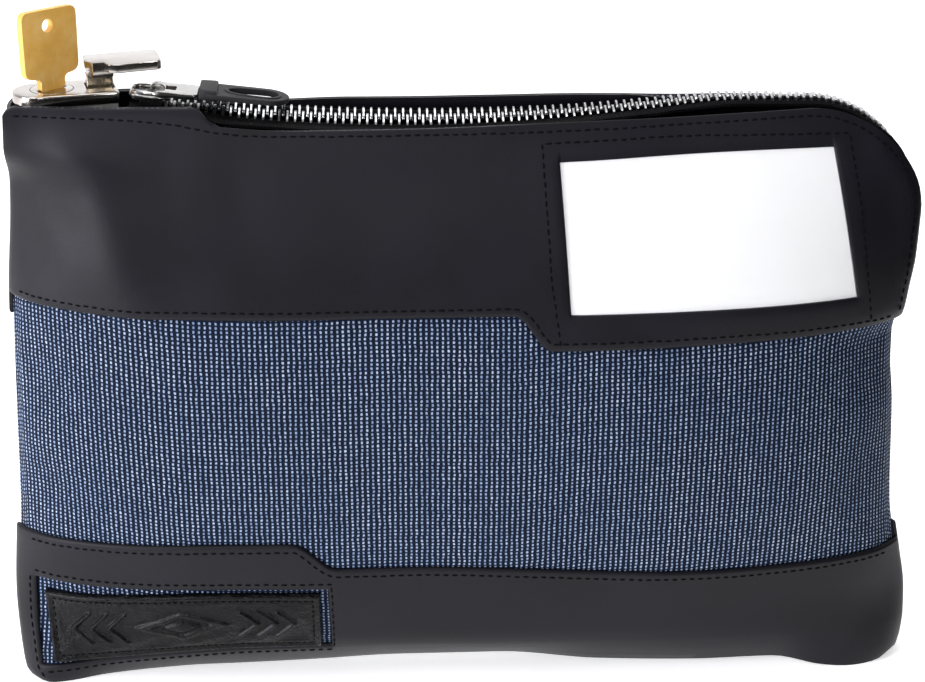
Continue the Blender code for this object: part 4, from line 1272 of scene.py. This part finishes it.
def key_solid():
    """Flat brass key: rounded bow with a hole, ribbed neck, blade with bitting."""
    t = 1.0
    def fillet(pts, r, n=5):
        out = []
        m = len(pts)
        for k in range(m):
            p0, p1, p2 = Vector(pts[k - 1]), Vector(pts[k]), Vector(pts[(k + 1) % m])
            a_, b_ = p0 - p1, p2 - p1
            d = min(r, a_.length * 0.45, b_.length * 0.45)
            q0, q1 = p1 + a_.normalized() * d, p1 + b_.normalized() * d
            for j in range(n + 1):
                t_ = j / n
                q = q0 * (1 - t_) ** 2 + p1 * 2 * t_ * (1 - t_) + q1 * t_ ** 2
                out.append((q.x, q.y))
        return out

    bow = [(3.2, 0.15), (3.9, 0.4), (3.9, 3.3), (8.7, 3.9), (8.9, 21.0), (-8.9, 21.4), (-8.8, 4.1), (-3.9, 3.3), (-3.9, 0.4),
           (-3.2, 0.15)]
    body_line = fillet(bow, 2.3)
    blade = [(-3.2, -12.4), (-1.6, -13.8), (0.3, -13.8), (1.4, -13.0), (2.6, -11.6), (1.7, -10.5), (1.7, -9.8), (3.1, -8.7),
             (3.1, -7.9), (2.0, -6.9), (2.0, -6.2), (3.2, -5.2), (3.0, -4.1), (2.2, -3.2), (3.2, -2.4)]
    smooth = body_line + blade
    place = TURN @ Matrix.Rotation(math.radians(90), 4, "X")
    # outline lies in local x (across), y -> z (up)
    rounded_solid("key_blank", smooth, -t, t, 0.28, BRASS, "key", place, ["key"], segments=3,
                  holes=[circle(-0.7, 17.0, 1.7, 32)])
    # neck ribs each side
    for sgn in (-1, 1):
        for cx in (-2.6, -1.1, 0.4, 1.9):
            sec = []
            for z, r in ((0.3, 0.3), (0.6, 0.42), (2.2, 0.46), (3.4, 0.42), (4.2, 0.12)):
                sec.append([(cx + r * 0.9 * math.cos(math.radians(a)), sgn * (t - 0.12) - sgn * 0 + 0.5 * r * math.sin(math.radians(a)),
                             z) for a in range(0, 360, 45)])
            bm = loft(sec)
            solid_from(bm, f"key_rib_{'a' if sgn < 0 else 'b'}_{int(cx * 10 + 50)}", BRASS, "key", TURN)


key_solid()

# latch: square brassy stem and the nickel thumb cap
sec = []
for z, g_ in ((-11.6, 0.5), (-11.2, 0.1), (-0.55, 0.1), (-0.35, -0.5), (3.0, -0.5)):
    sec.append([(x, y, z) for x, y in round_rect(STEM_X0 + g_, STEM_X1 - g_, STEM_Y0 + max(g_, 0.1) + 1.0 * (g_ < 0), STEM_Y1 - g_, 0.3, 4)])
solid_from(loft(sec), "latch_stem_body", STEMM, "latch", LOCK, ["latch_stem"])

# coil spring under the stem, closed at both ends, which the stem presses flat
sec = []
for k in range(5 * 20 + 1):
    w = 2 * math.pi * k / 20
    t = k / 100.0
    z = -16.25 + 0.45 * smooth01(t / 0.2) * t / 0.2 * 0.5 + 3.6 * smooth01((t - 0.08) / 0.84)
    sec.append([((1.9 + 0.26 * math.cos(v)) * math.cos(w), (1.9 + 0.26 * math.cos(v)) * math.sin(w), z + 0.26 * math.sin(v))
                for v in [2 * math.pi * q / 8 for q in range(8)]])
SPRING_AT = LOCK @ Matrix.Translation(((STEM_X0 + STEM_X1) / 2, (STEM_Y0 + STEM_Y1) / 2, 0))
spring = solid_from(loft(sec), "latch_spring_coil", STEELM, "bag", SPRING_AT, ["latch_spring"])
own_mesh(spring)


def sloped(bm, z0, z1, x0, x1, over):
    """Lifts what lies above `over` so that the top runs from z0 at x0 to z1 at x1."""
    for v in bm.verts:
        if v.co.z > over:
            t = min(max((v.co.x - x0) / (x1 - x0), 0), 1)
            v.co.z += (z1 - z0) * t


# arm: flat plate with a clipped thumb end, rising a little to the right; block: chamfered front corner
arm_line = [(14.5, -5.6), (15.9, -6.3), (16.6, -6.5), (27.0, -6.5), (28.0, -5.6), (28.2, -4.0), (28.2, 4.6), (27.4, 6.0), (26.0, 6.5),
            (9.6, 6.5), (8.9, 5.8), (8.9, -0.2), (10.4, -2.6), (13.6, -2.75)]
rounded_solid("latch_cap_body", arm_line, 4.35, 6.75, 0.28, NICKEL, "latch", LOCK, ["latch_cap"], segments=3,
              extra=lambda bm: [sloped(bm, 0, 0.6, 9.0, 28.0, 4.0)])
block_line = [(9.3, 6.3), (9.3, -0.8), (10.7, -2.9), (15.9, -2.9), (15.9, 6.3)]
rounded_solid("latch_post", block_line, 2.95, 6.9, 0.22, NICKEL, "latch", LOCK, (), segments=2)

# ------------------------------------------------------------------ slider
SX, SZ = -81.9, float(chain_z(-81.9))
TILT = math.atan2(float(chain_z(-81.4) - chain_z(-82.4)), 1.0)
SLIDER = Matrix.Translation((SX, 0, SZ)) @ Matrix.Rotation(-TILT, 4, "Y")
sl_top = [(-5.3, -2.6), (-4.4, -4.0), (-2.6, -4.6), (1.6, -4.6), (4.2, -3.9), (5.2, -2.9), (5.2, 2.9), (4.2, 3.9), (1.6, 4.6),
          (-2.6, 4.6), (-4.4, 4.0), (-5.3, 2.6)]
rounded_solid("slider_top", sl_top, 1.6, 2.7, 0.35, SLIDERM, "slider", SLIDER, ["slider_body"], segments=3)
rounded_solid("slider_bottom", sl_top, -3.0, -1.75, 0.4, SLIDERM, "slider", SLIDER, (), segments=2)
rounded_solid("slider_web", round_rect(-2.5, 3.5, -0.6, 0.6, 0.3, 3), -2.0, 2.0, 0, SLIDERM, "slider", SLIDER, ())
for sgn in (-1, 1):
    rounded_solid(f"slider_flange_{'a' if sgn < 0 else 'b'}", round_rect(-4.2, 4.4, 3.55 * sgn - 0.5, 3.55 * sgn + 0.5, 0.4, 3),
                  1.15, 2.0, 0.2, SLIDERM, "slider", SLIDER, (), segments=2)
print("scene part two in", flush=True)

# crown: arched bridge over the pull's bar, with a raised loop on each flank
PIVOT_X, PIVOT_Z, PULL_SLOPE = -79.35, 171.6, 7.0
ct, st = math.cos(-TILT), math.sin(-TILT)
CX = (PIVOT_X - SX) * ct - (PIVOT_Z - SZ) * st
CZ = (PIVOT_Z - SZ) * ct + (PIVOT_X - SX) * st


def arch(name, y0, y1, reach, foot, inner=1.15, base=2.55, lean=0.0):
    out = []
    for k in range(19):
        a = math.radians(180 * k / 18)
        out.append((CX + lean + reach * math.cos(a) - 0.3 * (k > 9), CZ + (reach - 0.15) * math.sin(a)))
    out += [(CX - reach - foot * 0.6, CZ - 0.9), (CX - reach - foot, base)]
    out += [(CX - inner, base)]
    for k in range(15):
        a = math.radians(180 - 180 * k / 14)
        out.append((CX + inner * math.cos(a), CZ + (inner - 0.1) * math.sin(a)))
    out += [(CX + inner, base), (CX + reach + 0.25, base)]
    rounded_solid(name, out, -y1, -y0, 0.2, SLIDERM, "slider", SLIDER @ Matrix.Rotation(math.radians(90), 4, "X"),
                  ["slider_bridge"] if name == "slider_crown" else (), segments=2)


def crown():
    arch("slider_crown", -1.45, 1.45, 2.05, 1.1)
    for sgn in (-1, 1):
        y0, y1 = (1.25, 2.05) if sgn > 0 else (-2.05, -1.25)
        arch(f"slider_crown_lip_{'a' if sgn < 0 else 'b'}", y0, y1, 1.72, 1.5)
    # raised loops on the top plate's shoulders
    for sgn in (-1, 1):
        path = [(-4.4, 1.2), (-4.6, 2.4), (-3.4, 3.5), (-1.4, 3.9), (0.8, 3.7), (2.6, 3.0), (4.3, 2.6), (4.6, 1.6)]
        rings = []
        q = resample(path, 0.35)
        for k, (x, y) in enumerate(q):
            d = q[min(k + 1, len(q) - 1)] - q[max(k - 1, 0)]
            d = d / np.hypot(*d)
            h = 2.75 + 0.45 * math.sin(math.pi * k / (len(q) - 1))
            rings.append([(x - d[1] * 0.5 * math.cos(math.radians(a)), sgn * (y + d[0] * 0.5 * math.cos(math.radians(a))),
                           h + 0.5 * math.sin(math.radians(a))) for a in range(0, 360, 40)])
        solid_from(loft(rings), f"slider_loop_{'a' if sgn < 0 else 'b'}", SLIDERM, "slider", SLIDER)


crown()

# ------------------------------------------------------------------ pull
PULL = Matrix.Translation((PIVOT_X, 0, PIVOT_Z)) @ Matrix.Rotation(math.radians(PULL_SLOPE), 4, "Y")
GRIP = PULL @ Matrix.Translation((0, 0, 0.85))
plate = [(-0.75, -3.6), (-0.2, -4.6), (0.9, -5.0), (8.4, -5.0), (9.6, -4.8), (10.3, -4.0), (10.3, 4.0), (9.6, 4.8), (8.4, 5.0),
         (0.9, 5.0), (-0.2, 4.6), (-0.75, 3.6)]
rounded_solid("pull_plate_body", plate, -0.7, 0.7, 0.26, SLIDERM, "pull", PULL, ["pull_plate"], segments=3,
              holes=[round_rect(0.75, 4.6, -2.1, 2.1, 0.8, 5)])
grip_out = [(10.6, -4.4), (11.2, -4.9), (14.2, -5.9), (15.4, -6.0)] + \
           [(28.0 + 6.0 * math.sin(math.radians(180 * k / 22)), -6.0 * math.cos(math.radians(180 * k / 22))) for k in range(23)] + \
           [(15.4, 6.0), (14.2, 5.9), (11.2, 4.9), (10.6, 4.4)]
slot_line = [(18.0, 0.0), (18.5, -1.2), (19.6, -2.0), (21.4, -2.6), (24.5, -2.9), (28.0, -3.0)] + \
            [(28.2 + 3.0 * math.sin(math.radians(180 * k / 12)), -3.0 * math.cos(math.radians(180 * k / 12))) for k in range(1, 12)] + \
            [(28.0, 3.0), (24.5, 2.9), (21.4, 2.6), (19.6, 2.0), (18.5, 1.2)]
rounded_solid("pull_grip_body", grip_out, -0.75, 0.65, 0.34, RUBBER, "pull", GRIP, ["pull_grip"], segments=4,
              holes=[slot_line])
# raised square block at the plate end, and a ridge round the slot
rounded_solid("grip_collar", [(10.55, -4.6), (11.2, -5.1), (14.4, -5.7), (15.2, -5.3), (15.2, 5.3), (14.4, 5.7), (11.2, 5.1),
                              (10.55, 4.6)],
              -1.35, 1.55, 0.45, RUBBER, "pull", GRIP, (), segments=3)
for nm, grow, z0, z1 in (("grip_slot_rim", 0.9, 0.4, 0.92),):
    outer_line = []
    cxm = 24.8
    for x, y in slot_line:
        d = math.hypot((x - cxm) / 6.5, y / 2.5)
        outer_line.append((cxm + (x - cxm) * (1 + grow / 6.5), y * (1 + grow / 2.5)))
    rounded_solid(nm, outer_line, z0, z1, 0.25, RUBBER, "pull", GRIP, (), segments=3, holes=[slot_line])

# stop at the lower end of the zip
xs_ = float(right_edge(106.0)) - 0.8
sec = [[(xs_ + 1.25 * math.cos(math.radians(a)) * k, 2.3 * math.sin(math.radians(a)) * k, z) for a in range(0, 360, 20)]
       for z, k in ((105.2, 0.7), (105.6, 0.98), (108.1, 0.98), (108.5, 0.7))]
solid_from(loft(sec), "bottom_stop", ZIPMETAL, "bag", Matrix.Identity(4), ["zip_bottom_stop"])


# ------------------------------------------------------------------ end piece under the lock
def gusset():
    zs = np.linspace(152.0, 168.3, 14)
    verts, faces = [], []
    cols = 9
    for depth in (0.0, 0.9):
        for z in zs:
            half = max(float(side_gap_left(z)) * 0.8 - 2.2, 0.3)
            for c in range(cols):
                y = half * (2 * c / (cols - 1) - 1)
                dome = 0.5 * (1 - (y / half) ** 2)
                verts.append((float(left_edge(z)) + 0.7 - dome + depth, y, z))
    m = len(zs) * cols
    for k in range(len(zs) - 1):
        for c in range(cols - 1):
            a = k * cols + c
            faces += [(a, a + 1, a + cols + 1, a + cols), (m + a, m + a + cols, m + a + cols + 1, m + a + 1)]
        a = k * cols
        faces += [(a, a + cols, m + a + cols, m + a), (a + cols - 1, m + a + cols - 1, m + a + 2 * cols - 1, a + 2 * cols - 1)]
    a = (len(zs) - 1) * cols
    for c in range(cols - 1):
        faces += [(c, m + c, m + c + 1, c + 1), (a + c, a + c + 1, m + a + c + 1, m + a + c)]
    add_object("end_piece", verts, faces, VINYL, "bag", ["end_gusset"], sharp=50)


gusset()

# ------------------------------------------------------------------ parts that stay as the CAD made them
KEEP = {"lock_case": CASEM, "lock_base_plate": CASEM, "case_screw_1": STEELM, "case_screw_2": STEELM, "wafer_1": BRASS,
        "wafer_2": BRASS, "wafer_3": BRASS, "lock_cam": STEELM, "lock_plug": NICKEL}
for node, mat in KEEP.items():
    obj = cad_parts[node]
    obj.data.materials.clear()
    obj.data.materials.append(mat)

# ------------------------------------------------------------------ floor and light
me = bpy.data.meshes.new("floor")
rows = [(-0.42, 0.0), (0.6, 0.0), (0.8, 0.02), (0.95, 0.09), (1.05, 0.22), (1.10, 0.45), (1.12, 1.6)]
vs = [(x, y, z) for y, z in rows for x in (-2.2, 2.2)]
me.from_pydata(vs, [], [(2 * k, 2 * k + 1, 2 * k + 3, 2 * k + 2) for k in range(len(rows) - 1)])
floor = bpy.data.objects.new("floor", me)
bpy.context.scene.collection.objects.link(floor)
me.shade_smooth()
fmat, fnt, fb = new_material("studio_floor")
fb.inputs["Base Color"].default_value = (0.93, 0.93, 0.93, 1)
fb.inputs["Roughness"].default_value = 0.9
fb.inputs["Emission Color"].default_value = (1, 1, 1, 1)
fb.inputs["Emission Strength"].default_value = 0.55
me.materials.append(fmat)
fm = bpy.data.meshes.new("flag")
fm.from_pydata([(0.42, -0.75, 0.0), (0.29, 0.10, 0.0), (0.29, 0.10, 0.45), (0.42, -0.75, 0.45)], [], [(0, 1, 2, 3)])
flag = bpy.data.objects.new("flag", fm)
bpy.context.scene.collection.objects.link(flag)
dark, _, db = new_material("flag_black")
db.inputs["Base Color"].default_value = (0.01, 0.01, 0.01, 1)
db.inputs["Roughness"].default_value = 1.0
fm.materials.append(dark)
flag.visible_camera = False


def area(name, loc, target, size, energy, shape="RECTANGLE", size_y=None, colour=(1, 1, 1)):
    light = bpy.data.lights.new(name, "AREA")
    light.shape = shape
    light.size = size
    if size_y:
        light.size_y = size_y
    light.energy = energy
    light.color = colour
    o = bpy.data.objects.new(name, light)
    bpy.context.scene.collection.objects.link(o)
    o.location = loc
    o.rotation_euler = (Vector(target) - Vector(loc)).to_track_quat("-Z", "Y").to_euler()
    return o


area("left_box", (-1.0, -0.55, 0.28), (0, 0, 0.08), 0.5, 12.0, size_y=0.6, colour=(0.93, 0.92, 1.0))
area("key_light", (-0.55, -0.55, 0.95), (0, 0, 0.08), 0.45, 3.6, size_y=0.45)
area("fill_light", (0.7, -0.95, 0.60), (0, 0, 0.08), 0.4, 0.6, size_y=0.4)
area("top_light", (0.0, 0.05, 1.15), (0, 0, 0.1), 0.9, 4.2, size_y=0.5)
spot = bpy.data.lights.new("key_snoot", "SPOT")
spot.energy, spot.spot_size, spot.spot_blend, spot.shadow_soft_size = 6.0, math.radians(8.0), 0.6, 0.05
snoot = bpy.data.objects.new("key_snoot", spot)
bpy.context.scene.collection.objects.link(snoot)
snoot.location = (0.20, -0.45, 0.35)
snoot.rotation_euler = (Vector((-0.108, 0.0, 0.186)) - Vector(snoot.location)).to_track_quat("-Z", "Y").to_euler()
area("front_light", (-0.1, -1.2, 0.62), (0, 0, 0.07), 0.4, 2.2, size_y=0.3)

world = bpy.data.worlds.new("studio")
bpy.context.scene.world = world
world.use_nodes = True
wg = Nodes(world.node_tree)
direction = wg.node("ShaderNodeSeparateXYZ")
wg.link(wg.coords("Generated"), direction.inputs[0])
up = wg.step(direction.outputs[2], -0.05, 0.55)
away = wg.step(direction.outputs[1], -0.35, 0.35)
right = wg.math("SUBTRACT", 1.0, wg.math("MULTIPLY", wg.step(direction.outputs[0], 0.0, 0.6), 0.9))
wash = wg.math("ADD", wg.math("MULTIPLY", up, 0.25), wg.math("MULTIPLY", away, 0.75))
path = wg.node("ShaderNodeLightPath")
lit = wg.math("MULTIPLY", wg.math("ADD", wash, 0.03), right)
wg.link(wg.math("MAXIMUM", lit, path.outputs["Is Camera Ray"]), world.node_tree.nodes["Background"].inputs["Strength"])
world.node_tree.nodes["Background"].inputs["Color"].default_value = (1, 1, 1, 1)
bpy.context.scene.view_settings.view_transform = "Standard"
bpy.context.scene.view_settings.look = "None"
bpy.context.scene.view_settings.exposure = 0.0
